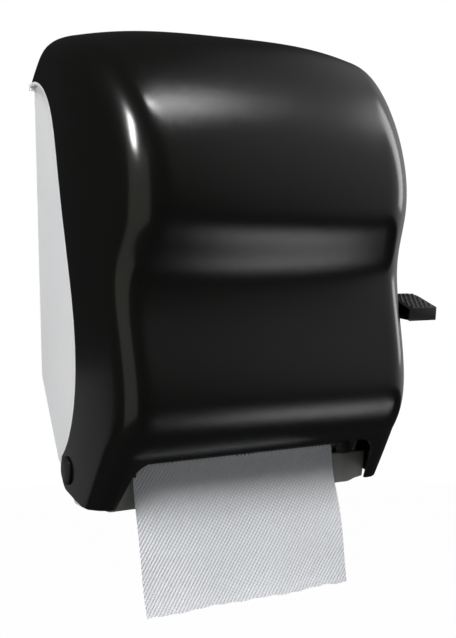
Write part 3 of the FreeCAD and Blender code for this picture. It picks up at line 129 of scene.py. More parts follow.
FLOOR_RADIUS, FLOOR_HEIGHT = 3.2, -0.95
WHITE_TO_CAMERA = 0.985
bpy.ops.mesh.primitive_circle_add(
    vertices=96, radius=FLOOR_RADIUS, fill_type="NGON", location=(0, 0, FLOOR_HEIGHT)
)
floor = bpy.context.object
floor.name = "studio_floor"
floor_paint = bpy.data.materials.new("studio_floor_paint")
floor_paint.use_nodes = True
floor_paint.node_tree.nodes.clear()
surface_out = add_node(floor_paint, "ShaderNodeOutputMaterial")
matte = add_node(floor_paint, "ShaderNodeBsdfDiffuse")
bright = add_node(floor_paint, "ShaderNodeEmission", Color=(1.0, 1.0, 1.0, 1.0))
mixer = add_node(floor_paint, "ShaderNodeMixShader")
path = add_node(floor_paint, "ShaderNodeLightPath")
seen = add_node(floor_paint, "ShaderNodeMath", operation="MAXIMUM")
share = add_node(floor_paint, "ShaderNodeMath", operation="MULTIPLY")
share.inputs[1].default_value = WHITE_TO_CAMERA
shade = add_node(
    floor_paint, "ShaderNodeMixRGB", Color1=(0.45, 0.45, 0.45, 1.0), Color2=(0.06, 0.06, 0.06, 1.0)
)
link(floor_paint, path.outputs["Is Glossy Ray"], shade.inputs["Fac"])
link(floor_paint, shade.outputs["Color"], matte.inputs["Color"])
link(floor_paint, path.outputs["Is Camera Ray"], seen.inputs[0])
link(floor_paint, path.outputs["Is Transmission Ray"], seen.inputs[1])
link(floor_paint, seen.outputs[0], share.inputs[0])
link(floor_paint, share.outputs[0], mixer.inputs[0])
link(floor_paint, matte.outputs[0], mixer.inputs[1])
link(floor_paint, bright.outputs[0], mixer.inputs[2])
link(floor_paint, mixer.outputs[0], surface_out.inputs[0])
floor.data.materials.append(floor_paint)


# ---- room ---------------------------------------------------------------------------------------
# The room is white to the camera, and its light on the dispenser comes mostly from above. Gloss
# shows it bright at the right and dim elsewhere.

studio = bpy.data.worlds.new("studio")
bpy.context.scene.world = studio
studio.use_nodes = True
studio.node_tree.nodes.clear()
world_out = add_node(studio, "ShaderNodeOutputWorld")
path = add_node(studio, "ShaderNodeLightPath")
toward = add_node(studio, "ShaderNodeTexCoord")
room = add_node(studio, "ShaderNodeBackground", Color=(0.97, 0.985, 1.0, 1.0))
upward = add_node(studio, "ShaderNodeSeparateXYZ")
ceiling = add_node(
    studio, "ShaderNodeMapRange", From_Min=-0.15, From_Max=0.6, To_Min=0.05, To_Max=0.32
)
link(studio, toward.outputs["Generated"], upward.inputs[0])
link(studio, upward.outputs["Z"], ceiling.inputs["Value"])
link(studio, ceiling.outputs["Result"], room.inputs["Strength"])
mirrored = add_node(studio, "ShaderNodeBackground", Color=(1.0, 1.0, 1.0, 1.0))
TO_THE_RIGHT = (0.95, -0.15, 0.2)
facing = add_node(studio, "ShaderNodeVectorMath", operation="DOT_PRODUCT")
facing.inputs[1].default_value = TO_THE_RIGHT
screen = add_node(
    studio, "ShaderNodeMapRange", From_Min=0.5, From_Max=0.95, To_Min=0.03, To_Max=1.0
)
link(studio, toward.outputs["Generated"], facing.inputs[0])
link(studio, facing.outputs["Value"], screen.inputs["Value"])
link(studio, screen.outputs["Result"], mirrored.inputs["Strength"])
white = add_node(studio, "ShaderNodeBackground", Color=(1.0, 1.0, 1.0, 1.0), Strength=1.0)
reflected = add_node(studio, "ShaderNodeMath", operation="MAXIMUM")
lit_or_mirrored = add_node(studio, "ShaderNodeMixShader")
shown = add_node(studio, "ShaderNodeMixShader")
link(studio, path.outputs["Is Glossy Ray"], reflected.inputs[0])
link(studio, path.outputs["Is Transmission Ray"], reflected.inputs[1])
link(studio, reflected.outputs[0], lit_or_mirrored.inputs[0])
link(studio, room.outputs[0], lit_or_mirrored.inputs[1])
link(studio, mirrored.outputs[0], lit_or_mirrored.inputs[2])
link(studio, path.outputs["Is Camera Ray"], shown.inputs[0])
link(studio, lit_or_mirrored.outputs[0], shown.inputs[1])
link(studio, white.outputs[0], shown.inputs[2])
link(studio, shown.outputs[0], world_out.inputs[0])


# ---- front cover --------------------------------------------------------------------------------
# The smoked styrene cover is one injection moulding with 3 mm walls. It hooks on the two hinge pins at
# its lower rear corners and is held shut by the lock in its top. Its front has a fine satin grain and
# the sides are polished.

COVER_LINE = [  # depth, height, share of the crown's drop towards the sides
    (3.2, 379.8, 0.0),
    (21.0, 399.0, 0.3),
    (44.0, 413.0, 0.35),
    (74.0, 417.5, 0.7),
    (146.0, 401.0, 1.05),
    (192.5, 361.5, 0.55),
    (223.0, 314.0, 0.3),
    (235.0, 262.0, 0.3),
    (230.5, 234.0, 0.6),
    (212.0, 199.0, 0.5),
    (208.0, 163.0, 0.0),
    (217.0, 108.5, 0.0),
    (192.5, 48.0, 0.0),
]
COVER_HALF, COVER_WALL = 148.5, 3.0
SIDE_STRAIGHT, SIDE_RADIUS = 85.0, 600.0
EDGE_RADIUS, FULLER_EDGE, REAR_EDGE = 17.0, 9.0, 6.0
CROWN_DROP, CROWN_HALF, CROWN_POWER = 10.0, 130.0, 3.2
# shares of the way along the cover: the bulge's middle, its reach and the reach of the tight rear edge
BULGE_AT, BULGE_REACH, REAR_REACH = 0.45, 0.16, 0.07
# the lip starts at this share and runs down and back from there
CREASE_AT = 0.86
LIP = np.array([-37.0, -50.0]) * 1.5
# from the middle outwards, the front ends at the first share and the rounded edge at the second
FRONT_TO, EDGE_TO = 0.48, 0.68
# the satin grain fades out towards the edge and towards the top
SATIN_TO, SATIN_FADE, SATIN_FROM, TOP_FADE = 0.5, 0.06, 0.17, 0.05
HINGE = (96.0, 25.0)
EAR_RADIUS = 19.0
SEAM = [(3.2, 379.8), (32, 376), (65, 354), (88.5, 294), (109, 217), (124, 148), (121.5, 98), (109, 65)]
SEAM += [(HINGE[0] - 16.5, HINGE[1] + 9.5)]
BEHIND_SEAM = [  # share along the cover, depth, height: the sides' trimmed-off inner ends
    (0.0, 3, 340),
    (0.13, 7, 338),
    (0.24, 16, 333),
    (0.34, 38, 322),
    (0.43, 62, 293),
    (0.5, 74, 260),
    (0.58, 87, 218),
    (0.66, 100, 165),
    (0.74, 104, 110),
    (0.86, 88, 62),
    (1.0, 66, -14),
]


def spot(x, depth, height):
    """A point in metres, from millimetres: x, depth from the wall, height above the cover's foot."""
    return Vector((x, -depth, height - 230.0)) / 1000.0


def spline(points, shares):
    """Positions on a smooth curve through points, at shares from 0 to 1 of its length."""
    points = np.array(points, float)
    knots = np.r_[0.0, np.cumsum(np.linalg.norm(np.diff(points[:, :2], axis=0), axis=1))]
    count = len(points)

    def end_slope(ids):
        """The slope at the first of four points of the cubic through them."""
        rows = np.vander(knots[ids] - knots[ids[0]], 4, increasing=True)
        return np.linalg.solve(rows, points[ids])[1]

    spans = np.diff(knots)[:, None]
    matrix = np.zeros((count, count))
    right = np.zeros_like(points)
    matrix[0, 0] = matrix[-1, -1] = 1.0
    right[0] = end_slope(list(range(4)))
    right[-1] = end_slope(list(range(count - 1, count - 5, -1)))
    for i in range(1, count - 1):
        before, after = spans[i - 1, 0], spans[i, 0]
        matrix[i, i - 1 : i + 2] = [after, 2 * (before + after), before]
        rise_before = (points[i] - points[i - 1]) / before
        rise_after = (points[i + 1] - points[i]) / after
        right[i] = 3 * (after * rise_before + before * rise_after)
    slopes = np.linalg.solve(matrix, right)
    places = np.asarray(shares, float) * knots[-1]
    k = np.clip(np.searchsorted(knots, places, side="right") - 1, 0, count - 2)
    h = spans[k]
    t = ((places - knots[k])[:, None]) / h
    start, end, leaving, arriving = points[k], points[k + 1], slopes[k] * h, slopes[k + 1] * h
    value = (2 * t**3 - 3 * t**2 + 1) * start + (t**3 - 2 * t**2 + t) * leaving
    return value + (3 * t**2 - 2 * t**3) * end + (t**3 - t**2) * arriving


def active(piece):
    """Select one piece and nothing else."""
    bpy.ops.object.select_all(action="DESELECT")
    piece.select_set(True)
    bpy.context.view_layer.objects.active = piece


def apply_modifier(piece, kind, **settings):
    """Add a modifier, set it and apply it."""
    active(piece)
    step = piece.modifiers.new(kind.lower(), kind)
    for name, value in settings.items():
        setattr(step, name, value)
    bpy.ops.object.modifier_apply(modifier=step.name)


def round_edges(piece, width, segments=3):
    """Round a piece's sharp edges by a width in millimetres."""
    apply_modifier(piece, "BEVEL", width=width / 1000, segments=segments, limit_method="ANGLE")


def settle(piece):
    """Write the object's place, turn and scale into its mesh."""
    active(piece)
    bpy.ops.object.transform_apply(location=True, rotation=True, scale=True)


def smooth_faces(piece, degrees):
    """Smooth shading, with edges sharper than an angle left crisp."""
    active(piece)
    bpy.ops.object.shade_smooth_by_angle(angle=math.radians(degrees))


def align_normals(piece):
    """Make a mesh's faces agree, pointing outwards where it is closed."""
    active(piece)
    bpy.ops.object.mode_set(mode="EDIT")
    bpy.ops.mesh.select_all(action="SELECT")
    bpy.ops.mesh.normals_make_consistent(inside=False)
    bpy.ops.object.mode_set(mode="OBJECT")


def face_the_user(piece, axis):
    """Align an open skin's normals so that its face lowest along an axis looks at the user."""
    align_normals(piece)
    if min(piece.data.polygons, key=lambda face: face.center[axis]).normal.y > 0:
        bpy.ops.object.mode_set(mode="EDIT")
        bpy.ops.mesh.flip_normals()
        bpy.ops.object.mode_set(mode="OBJECT")


def slab(name, outline, along, start, thickness):
    """A flat plate of a closed outline in two of the axes, pulled along the third (x or depth)."""
    bpy.ops.mesh.primitive_circle_add(vertices=len(outline), radius=1.0, fill_type="NGON")
    plate = bpy.context.object
    plate.name = name
    for vertex, (u, v) in zip(plate.data.vertices, outline):
        vertex.co = spot(start, u, v) if along == "x" else spot(u, start, v)
    pull = spot(thickness, 0, 230) if along == "x" else spot(0, thickness, 230)
    bpy.ops.object.mode_set(mode="EDIT")
    bpy.ops.mesh.select_all(action="SELECT")
    bpy.ops.mesh.extrude_region_move(TRANSFORM_OT_translate={"value": pull})
    bpy.ops.object.mode_set(mode="OBJECT")
    align_normals(plate)
    return plate


def rod(radius, length, middle, upright=False, sides=64):
    """A round bar, sized in millimetres, about a middle point and along x or upright."""
    bpy.ops.mesh.primitive_cylinder_add(
        vertices=sides,
        radius=radius / 1000,
        depth=length / 1000,
        rotation=(0, 0 if upright else math.pi / 2, 0),
    )
    bar = bpy.context.object
    bar.location = middle
    settle(bar)
    return bar


def cut_away(piece, cutter):
    """Take a cutter's volume out of a piece and remove the cutter."""
    apply_modifier(piece, "BOOLEAN", operation="DIFFERENCE", solver="EXACT", object=cutter)
    bpy.data.objects.remove(cutter, do_unlink=True)


def side_half(depth):
    """Half the cover's width at a depth: straight near the wall, then drawn in along an arc."""
    span = np.maximum(depth - SIDE_STRAIGHT, 0.0)
    return COVER_HALF - SIDE_RADIUS + np.sqrt(SIDE_RADIUS**2 - span**2)


bpy.ops.mesh.primitive_grid_add(x_subdivisions=100, y_subdivisions=200, size=1.0)
cover = bpy.context.object
cover.name = "smoked_cover"
grid = np.array([vertex.co for vertex in cover.data.vertices])
outward = np.abs(grid[:, 0] * 2.0)
side = np.where(grid[:, 0] < 0, -1.0, 1.0)
along = np.clip(grid[:, 1] + 0.5, 0.0, 1.0)
# the middle line, with the lip beyond the crease
on_curve = spline(COVER_LINE, np.clip(along / CREASE_AT, 0, 1))
beyond = np.clip((along - CREASE_AT) / (1 - CREASE_AT), 0, 1)[:, None]
middle = on_curve[:, :2] + LIP * beyond
# its direction, which turns halfway at the crease
STEP, AT_CREASE = 0.0004, 0.001
before = spline(COVER_LINE, np.clip(along / CREASE_AT - STEP, 0, 1))
after = spline(COVER_LINE, np.clip(along / CREASE_AT + STEP, 0, 1))
slope = (after - before)[:, :2]
slope /= np.maximum(np.linalg.norm(slope, axis=1), 1e-12)[:, None]
lip_slope = LIP / np.linalg.norm(LIP)
slope[along > CREASE_AT + AT_CREASE] = lip_slope
slope[np.abs(along - CREASE_AT) < AT_CREASE] += lip_slope
slope /= np.linalg.norm(slope, axis=1)[:, None]
inward = np.c_[slope[:, 1], -slope[:, 0]]
# the rounded edge is fullest at the bulge and tightest at the wall
turn = np.clip((outward - FRONT_TO) / (EDGE_TO - FRONT_TO), 0, 1) * math.pi / 2
radius = EDGE_RADIUS + FULLER_EDGE * np.exp(-(((along - BULGE_AT) / BULGE_REACH) ** 4))
radius -= (EDGE_RADIUS - REAR_EDGE) * np.exp(-((along / REAR_REACH) ** 2))
front_half = side_half(middle[:, 0]) - radius
front_x = np.clip(outward / FRONT_TO, 0, 1) * front_half + radius * np.sin(turn)
crown = CROWN_DROP * on_curve[:, 2] * (front_x / CROWN_HALF) ** CROWN_POWER
edge = middle + inward * (crown + radius * (1 - np.cos(turn)))[:, None]
# the flat sides run from the rounded edge to behind the seam
shares, depths, heights = zip(*BEHIND_SEAM)
target = np.c_[np.interp(along, shares, depths), np.interp(along, shares, heights)]
flat = edge + (target - edge) * np.clip((outward - EDGE_TO) / (1 - EDGE_TO), 0, 1)[:, None]
flat_x = side_half(flat[:, 0]) - radius * (1 - np.sin(turn))
flat_x = np.where(outward > FRONT_TO, flat_x, front_x)
for vertex, x, (depth, height) in zip(cover.data.vertices, flat_x * side, flat):
    vertex.co = spot(x, depth, height)
satin = np.clip((SATIN_TO - outward) / SATIN_FADE, 0, 1)
satin *= np.clip((along - SATIN_FROM) / TOP_FADE, 0, 1)
cover.data.attributes.new("satin", "FLOAT", "POINT").data.foreach_set("value", satin)
face_the_user(cover, 1)
apply_modifier(cover, "SOLIDIFY", thickness=COVER_WALL / 1000, offset=-1.0)
# trimmed along the seam and round the ears
CUT_HALF, CUT_FAR, CUT_LOW = 170, 270, -80
behind = [(-30, SEAM[0][1])] + [tuple(point) for point in spline(SEAM, np.linspace(0, 1, 90))]
for degrees in range(157, 256, 7):
    a = math.radians(degrees)
    behind.append((HINGE[0] + EAR_RADIUS * math.cos(a), HINGE[1] + EAR_RADIUS * math.sin(a)))
behind += [(132, 0), (CUT_FAR, 0), (CUT_FAR, CUT_LOW), (-30, CUT_LOW)]
cut_away(cover, slab("seam_cutter", behind, "x", -CUT_HALF, 2 * CUT_HALF))
# the mouth, which widens downwards
MOUTH_HALF, MOUTH_TOP, MOUTH_CORNER, MOUTH_FLARE = 119.0, 44.0, 20.0, 10.0
corner = [
    (
        MOUTH_HALF - MOUTH_CORNER + MOUTH_CORNER * math.cos(a),
        MOUTH_TOP - MOUTH_CORNER + MOUTH_CORNER * math.sin(a),
    )
    for a in np.linspace(0.17, math.pi / 2, 12)
]
mouth = [(MOUTH_HALF + MOUTH_FLARE, -15)] + corner
mouth += [(-x, height) for x, height in reversed(mouth)]
cut_away(cover, slab("mouth_cutter", mouth, "depth", 138, 120))
# a thicker disc inside each ear, its bore for the hinge pin, and the tube that holds the lock
DISC_THICK, EAR_BORE = 2.8, 6.05
extras = []
for way in (1, -1):
    disc = rod(EAR_RADIUS - 1, DISC_THICK, spot(way * 144.6, *HINGE), sides=72)
    round_edges(disc, 0.5, 2)
    for piece in (disc, cover):
        cut_away(piece, rod(EAR_BORE, 12, spot(way * 146, *HINGE), sides=48))
    extras.append(disc)
LOCK_AT, TUBE_RADIUS, TUBE_LONG, TUBE_BORE = spot(0, 74, 406.5), 9.5, 18, 7.05
lock_tube = rod(TUBE_RADIUS, TUBE_LONG, LOCK_AT, upright=True)
cut_away(lock_tube, rod(TUBE_BORE, 30, LOCK_AT, upright=True))
active(cover)
for extra in extras + [lock_tube]:
    extra.select_set(True)
bpy.ops.object.join()
smooth_faces(cover, 35)


def paint(name, colour, roughness, **sockets):
    """A new node material with a Principled shader. Sockets are set by their names."""
    material = bpy.data.materials.new(name)
    material.use_nodes = True
    shader = material.node_tree.nodes["Principled BSDF"]
    shader.inputs["Base Color"].default_value = (*colour, 1.0)
    shader.inputs["Roughness"].default_value = roughness
    for socket, value in sockets.items():
        shader.inputs[socket.replace("_", " ")].default_value = value
    return material


def feed(material, source, socket):
    """Join an output to a socket of the material's Principled shader."""
    link(material, source, material.node_tree.nodes["Principled BSDF"].inputs[socket])


def grain_bump(material, scale, strength, distance, detail=2.0):
    """Fine moulded grain as bump, on the piece's own coordinates."""
    coordinates = add_node(material, "ShaderNodeTexCoord")
    noise = add_node(material, "ShaderNodeTexNoise", Scale=scale, Detail=detail, Roughness=0.6)
    bump = add_node(material, "ShaderNodeBump", Strength=strength, Distance=distance)
    link(material, coordinates.outputs["Object"], noise.inputs["Vector"])
    link(material, noise.outputs["Fac"], bump.inputs["Height"])
    feed(material, bump.outputs["Normal"], "Normal")
    return bump


def by_satin(material, satin_map, polished, satin_finish):
    """A value that runs from the polished edge's to the satin front's."""
    values = add_node(material, "ShaderNodeMapRange", To_Min=polished, To_Max=satin_finish)
    link(material, satin_map.outputs["Fac"], values.inputs["Value"])
    return values.outputs["Result"]


smoke = paint("smoked_styrene", (0.0036, 0.0038, 0.0033), 0.3, IOR=1.45, Alpha=0.992)
grain_relief = grain_bump(smoke, 1300.0, 0.25, 0.00012, 1.0)
satin_map = add_node(smoke, "ShaderNodeAttribute", attribute_name="satin")
feed(smoke, by_satin(smoke, satin_map, 0.19, 0.22), "Roughness")
link(smoke, by_satin(smoke, satin_map, 0.03, 1.0), grain_relief.inputs["Strength"])
cover.data.materials.append(smoke)
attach(cover, "cover")
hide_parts("front_cover")


# ---- wall unit ----------------------------------------------------------------------------------
# The white back, side panels, sloping heel, floor and apron are one polypropylene moulding, screwed to
# the wall through four holes. A raised rim follows the cover's seam.


def shaded(material, low, high, scale, socket="Base Color"):
    """Let the colour wander a little between two tones, or a value between two numbers."""
    coordinates = add_node(material, "ShaderNodeTexCoord")
    noise = add_node(material, "ShaderNodeTexNoise", Scale=scale, Detail=4.0, Roughness=0.55)
    ramp = add_node(material, "ShaderNodeValToRGB")
    for stop, place, tone in zip(ramp.color_ramp.elements, (0.35, 0.65), (low, high)):
        stop.position = place
        stop.color = (*np.broadcast_to(tone, 3), 1.0)
    link(material, coordinates.outputs["Object"], noise.inputs["Vector"])
    link(material, noise.outputs["Fac"], ramp.inputs["Fac"])
    feed(material, ramp.outputs["Color"], socket)
    return ramp.outputs["Color"]


def mask(material, source, outside, inside):
    """A share that runs from 0 to 1 while a source goes from one limit to the other."""
    ramp = add_node(material, "ShaderNodeMapRange", From_Min=outside, From_Max=inside)
    link(material, source, ramp.inputs["Value"])
    return ramp.outputs["Result"]


def both(material, first, second):
    """The product of two shares."""
    times = add_node(material, "ShaderNodeMath", operation="MULTIPLY")
    link(material, first, times.inputs[0])
    link(material, second, times.inputs[1])
    return times.outputs[0]


def blend(material, share, first, second):
    """A colour between two colours, each given as numbers or as an output."""
    mix = add_node(material, "ShaderNodeMixRGB")
    link(material, share, mix.inputs["Fac"])
    for socket, colour in (("Color1", first), ("Color2", second)):
        if isinstance(colour, tuple):
            mix.inputs[socket].default_value = (*colour, 1.0)
        else:
            link(material, colour, mix.inputs[socket])
    return mix.outputs["Color"]


white_shell = paint("white_moulding", (0.8, 0.8, 0.805), 0.36)
grain_bump(white_shell, 700.0, 0.12, 0.0002)
panel_tone = shaded(white_shell, (0.78, 0.785, 0.79), (0.82, 0.82, 0.825), 9.0)
# painted shade round the mouth, where the cover shades it: the apron is painted grey, and the floor and
# the panels' inner faces above it are painted near black
coordinates = add_node(white_shell, "ShaderNodeTexCoord")
split = add_node(white_shell, "ShaderNodeSeparateXYZ")
sideways = add_node(white_shell, "ShaderNodeMath", operation="ABSOLUTE")
link(white_shell, coordinates.outputs["Object"], split.inputs["Vector"])
link(white_shell, split.outputs["X"], sideways.inputs[0])
low_down = mask(white_shell, split.outputs["Z"], -0.14, -0.17)
within_panels = mask(white_shell, sideways.outputs[0], 0.1427, 0.1415)
near_mouth = mask(white_shell, split.outputs["Y"], -0.07, -0.09)
above_apron = mask(white_shell, split.outputs["Z"], -0.2095, -0.2084)
# painted shade: grey for the apron and near black for the recess above it, not colours of the white
# moulding
APRON_PAINTED_SHADE, RECESS_PAINTED_SHADE = (0.2, 0.197, 0.185), (0.02, 0.02, 0.02)
painted_shade_zone = both(white_shell, both(white_shell, low_down, within_panels), near_mouth)
painted_shade_tone = blend(white_shell, above_apron, APRON_PAINTED_SHADE, RECESS_PAINTED_SHADE)
# round the mouth the painted shade takes the place of the panels' white tone
feed(white_shell, blend(white_shell, painted_shade_zone, panel_tone, painted_shade_tone), "Base Color")

MERGE_NEARER = 0.00001


def from_solid(name, node, material, body, degrees):
    """A piece with a solid's own faces, merged, cleaned and smoothly shaded."""
    piece = nodes[node].copy()
    piece.data = nodes[node].data.copy()
    for key in list(piece.keys()):
        del piece[key]
    piece.parent = None
    bpy.context.scene.collection.objects.link(piece)
    piece.name = name
    active(piece)
    bpy.ops.object.mode_set(mode="EDIT")
    bpy.ops.mesh.select_all(action="SELECT")
    bpy.ops.mesh.remove_doubles(threshold=MERGE_NEARER)
    bpy.ops.object.mode_set(mode="OBJECT")
    smooth_faces(piece, degrees)
    piece.data.materials.clear()
    piece.data.materials.append(material)
    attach(piece, body)
    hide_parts(node)
    return piece


wall_unit = from_solid(
    "white_wall_unit", "back_chassis", white_shell, "wall_unit", degrees=18
)
# the apron's two upright corners are drawn out nearly square and their foot sweeps up, so that the
# apron reaches the cover's legs and stays hidden behind them
CORNER_X, CORNER_DEPTH, CORNER_TOP, SQUARENESS = 0.111, 0.1045, -0.207, 9
SWEEP_X, SWEEP_RUN, SWEEP_TOP, SWEEP_FALL, SWEEP_LIFT = 0.12, 0.013, -0.208, 0.03, 0.004
for vertex in wall_unit.data.vertices:
    outward = abs(vertex.co.x) - CORNER_X
    forward = -vertex.co.y - CORNER_DEPTH
    if outward > 0 and forward > 0 and vertex.co.z < CORNER_TOP:
        slant = math.atan2(forward, outward)
        stretch = (math.cos(slant) ** SQUARENESS + math.sin(slant) ** SQUARENESS) ** (-1 / SQUARENESS)
        vertex.co.x = math.copysign(CORNER_X + outward * stretch, vertex.co.x)
        vertex.co.y = -CORNER_DEPTH - forward * stretch
    sweep = min(max((abs(vertex.co.x) - SWEEP_X) / SWEEP_RUN, 0.0), 1.0)
    foot = min(max((SWEEP_TOP - vertex.co.z) / SWEEP_FALL, 0.0), 1.0)
    vertex.co.z += SWEEP_LIFT * sweep * sweep * (3 - 2 * sweep) * foot
# the panels' flat faces stay flat
for face in wall_unit.data.polygons:
    face.use_smooth = face.use_smooth and abs(face.normal.x) < 0.9999


# ---- hinge pins ---------------------------------------------------------------------------------
# Two black acetal pins snap into the side panels. The cover's ears turn on their journals and a domed
# cap closes each ear from outside.

black_acetal = paint("black_acetal", (0.014, 0.014, 0.015), 0.33)
grain_bump(black_acetal, 500.0, 0.1, 0.0002)
for name in ("hinge_pin_left", "hinge_pin_right"):
    from_solid(name + "_cap", name, black_acetal, "wall_unit", degrees=30)


# ---- lever --------------------------------------------------------------------------------------
# The lever is one black nylon moulding: a hub on the lever shaft, a flat arm and a hollow paddle whose
# top carries rows of raised grip dots.

LEVER_X, LEVER_TIP = 150.0, 181.0
LEVER_AXIS, HUB_RADIUS = (90, 125), 14
ARM_THICK, PADDLE_WALL, PADDLE_HOLLOW = 6.0, 2.6, 6.2
PADDLE = [(160, 174.5), (196.5, 161.5), (195, 150.0), (159, 163.0)]
ARM = [(82, 113.5), (98, 113.5), (166, 153), (193, 150.5)]
ARM += [(196.5, 161.5), (160, 174.5), (146, 169.5), (80, 135)]
lever = slab("lever_paddle", ARM, "x", LEVER_X, ARM_THICK)
round_edges(lever, 1.2)
paddle = slab("paddle", PADDLE, "x", LEVER_X, LEVER_TIP - LEVER_X)
# hollow the paddle from below
bpy.ops.object.mode_set(mode="EDIT")
bpy.ops.mesh.select_all(action="DESELECT")
bpy.ops.object.mode_set(mode="OBJECT")
for face in paddle.data.polygons:
    face.select = face.normal.z < -0.8
bpy.ops.object.mode_set(mode="EDIT")
bpy.ops.mesh.select_mode(type="FACE")
bpy.ops.mesh.inset(thickness=PADDLE_WALL / 1000)
hollow = {"value": (0.0, 0.0, PADDLE_HOLLOW / 1000)}
bpy.ops.mesh.extrude_region_move(TRANSFORM_OT_translate=hollow)
bpy.ops.mesh.select_all(action="DESELECT")
bpy.ops.mesh.select_mode(type="EDGE")
bpy.ops.object.mode_set(mode="OBJECT")
# round the upright edges of its outer end, the rear one far more than the front one
for edge_depth, rounding in ((160, 9.0), (196, 1.8)):
    for mesh_edge in paddle.data.edges:
        ends = [paddle.data.vertices[i].co * 1000 for i in mesh_edge.vertices]
        upright = abs(ends[0].z - ends[1].z) > 8 and abs(ends[0].x - ends[1].x) < 0.01
        near = all(abs(-end.y - edge_depth) < 3 for end in ends)
        mesh_edge.select = upright and near and min(end.x for end in ends) > LEVER_TIP - 1
    bpy.ops.object.mode_set(mode="EDIT")
    bpy.ops.mesh.bevel(offset=rounding / 1000, segments=7, affect="EDGES")
    bpy.ops.mesh.select_all(action="DESELECT")
    bpy.ops.object.mode_set(mode="OBJECT")
round_edges(paddle, 0.7)
hub = rod(HUB_RADIUS, ARM_THICK, spot(LEVER_X + ARM_THICK / 2, *LEVER_AXIS))
round_edges(hub, 1.0)
# the grip dots, every other row set half a step aside
DOT_RADIUS, DOT_FLATTENED, ROW_STEP, DOT_STEP = 1.4, 0.62, 4.6, 4.8
top_rear, top_front = PADDLE[:2]
lean = math.atan2(top_rear[1] - top_front[1], top_front[0] - top_rear[0])
dots = []
for row in range(8):
    reach = 3.2 + row * ROW_STEP
    for column in range(6):
        x = LEVER_X + 3.4 + column * DOT_STEP + (DOT_STEP / 2 if row % 2 else 0.0)
        if x > LEVER_TIP - 2.5:
            continue
        bpy.ops.mesh.primitive_uv_sphere_add(segments=12, ring_count=6, radius=DOT_RADIUS / 1000)
        dot = bpy.context.object
        dot.scale = (1.0, 1.0, DOT_FLATTENED)
        dot.rotation_euler = (lean, 0.0, 0.0)
        dot.location = spot(x, 160 + reach * math.cos(lean), 174.45 - reach * math.sin(lean))
        settle(dot)
        dots.append(dot)
active(lever)
for extra in [paddle, hub] + dots:
    extra.select_set(True)
bpy.ops.object.join()
smooth_faces(lever, 32)
lever_black = paint("black_lever", (0.009, 0.009, 0.01), 0.34)
grain_bump(lever_black, 600.0, 0.15, 0.0002)
lever.data.materials.append(lever_black)
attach(lever, "lever")
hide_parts("lever_arm")


# ---- towel --------------------------------------------------------------------------------------
# The towel's free end comes off the roll, passes between the two rollers and hangs out of the mouth,
# curling towards the user. It is bleached paper with close diagonal rows of embossed dots, and its end
# was torn off on the tear bar's teeth.

PAPER_WIDE = 203.0
PAPER_LINE = [  # depth, height
    (202.1, 241.7),
    (168.5, 158.9),
    (134.9, 76.0),
    (133.6, 66.5),
    (134.0, 50),
    (135.2, 26),
    (138.0, 4),
    (142.5, -14),
    (148.0, -38),
    (153.0, -68),
    (160.5, -97),
]
bpy.ops.mesh.primitive_grid_add(x_subdivisions=320, y_subdivisions=300, size=1.0)
towel = bpy.context.object
towel.name = "towel_free_end"
grid = np.array([vertex.co for vertex in towel.data.vertices])
across = grid[:, 0] * 2.0
along = np.clip(grid[:, 1] + 0.5, 0.0, 1.0)
# a fifth of the grid's rows make the plain upper half, and the others the embossed part
PLAIN_ROWS, PLAIN_PART = 0.2, 0.52
share = np.interp(along, (0, PLAIN_ROWS, 1), (0, PLAIN_PART, 1))
depth, height = spline(PAPER_LINE, share).T.copy()
dense = spline(PAPER_LINE, np.linspace(0, 1, 2001))
PAPER_LONG = float(np.sum(np.linalg.norm(np.diff(dense, axis=0), axis=1)))
run = share * PAPER_LONG
x = across * PAPER_WIDE / 2
# slack waves and the curl of the lower corners
LOOSE_FROM = 0.72
loose = np.clip((share - LOOSE_FROM) / (1 - LOOSE_FROM), 0, 1)
depth += loose * (1.6 * np.sin(x / 31.0 + 0.6) + 0.9 * np.sin(x / 13.0 + run / 60.0))
depth += 4.5 * loose**2 * (across < 0) * across**2
depth += 4.0 * np.sin(loose * math.pi) * (across > 0) * across**2
# torn end: the tear bar's teeth, a little uneven
TOOTH = 4.0
last = np.clip((along - 0.93) / 0.07, 0, 1)
teeth = 0.55 * np.abs(((x / TOOTH) % 1.0) * 2 - 1) + 0.5 * np.sin(x / 9.0) + 0.4 * np.sin(x / 3.1 + 1.0)
height += last * (teeth * 1.1 + 1.0)
# embossed dots where diagonal rows and ranks cross
DOT_PITCH, EMBOSS = 2.9, 0.16
ROW_WAY, RANK_WAY = (0.8, 0.6), (0.5, -0.87)
rows = np.sin(2 * math.pi * (x * ROW_WAY[0] + run * ROW_WAY[1]) / DOT_PITCH)
ranks = np.sin(2 * math.pi * (x * RANK_WAY[0] + run * RANK_WAY[1]) / DOT_PITCH)
depth += EMBOSS * np.clip(rows * 1.3 + ranks * 0.4, -1, 1.2) * (along > PLAIN_ROWS)
for vertex, place in zip(towel.data.vertices, zip(x, depth, height)):
    vertex.co = spot(*place)
# its map counts tenths of a metre across and along the paper
for loop in towel.data.loops:
    i = loop.vertex_index
    towel.data.uv_layers[0].data[loop.index].uv = (x[i] / 100.0, run[i] / 100.0)
face_the_user(towel, 2)
bpy.ops.object.shade_smooth()
paper = paint("towel_paper", (0.8, 0.8, 0.8), 0.9, Sheen_Weight=0.15, Sheen_Roughness=0.6)
where = add_node(paper, "ShaderNodeTexCoord")
fibre = add_node(paper, "ShaderNodeTexNoise", Scale=160.0, Detail=6.0, Roughness=0.75)
fibre_bump = add_node(paper, "ShaderNodeBump", Strength=0.35, Distance=0.0003)
link(paper, where.outputs["UV"], fibre.inputs["Vector"])
link(paper, fibre.outputs["Fac"], fibre_bump.inputs["Height"])
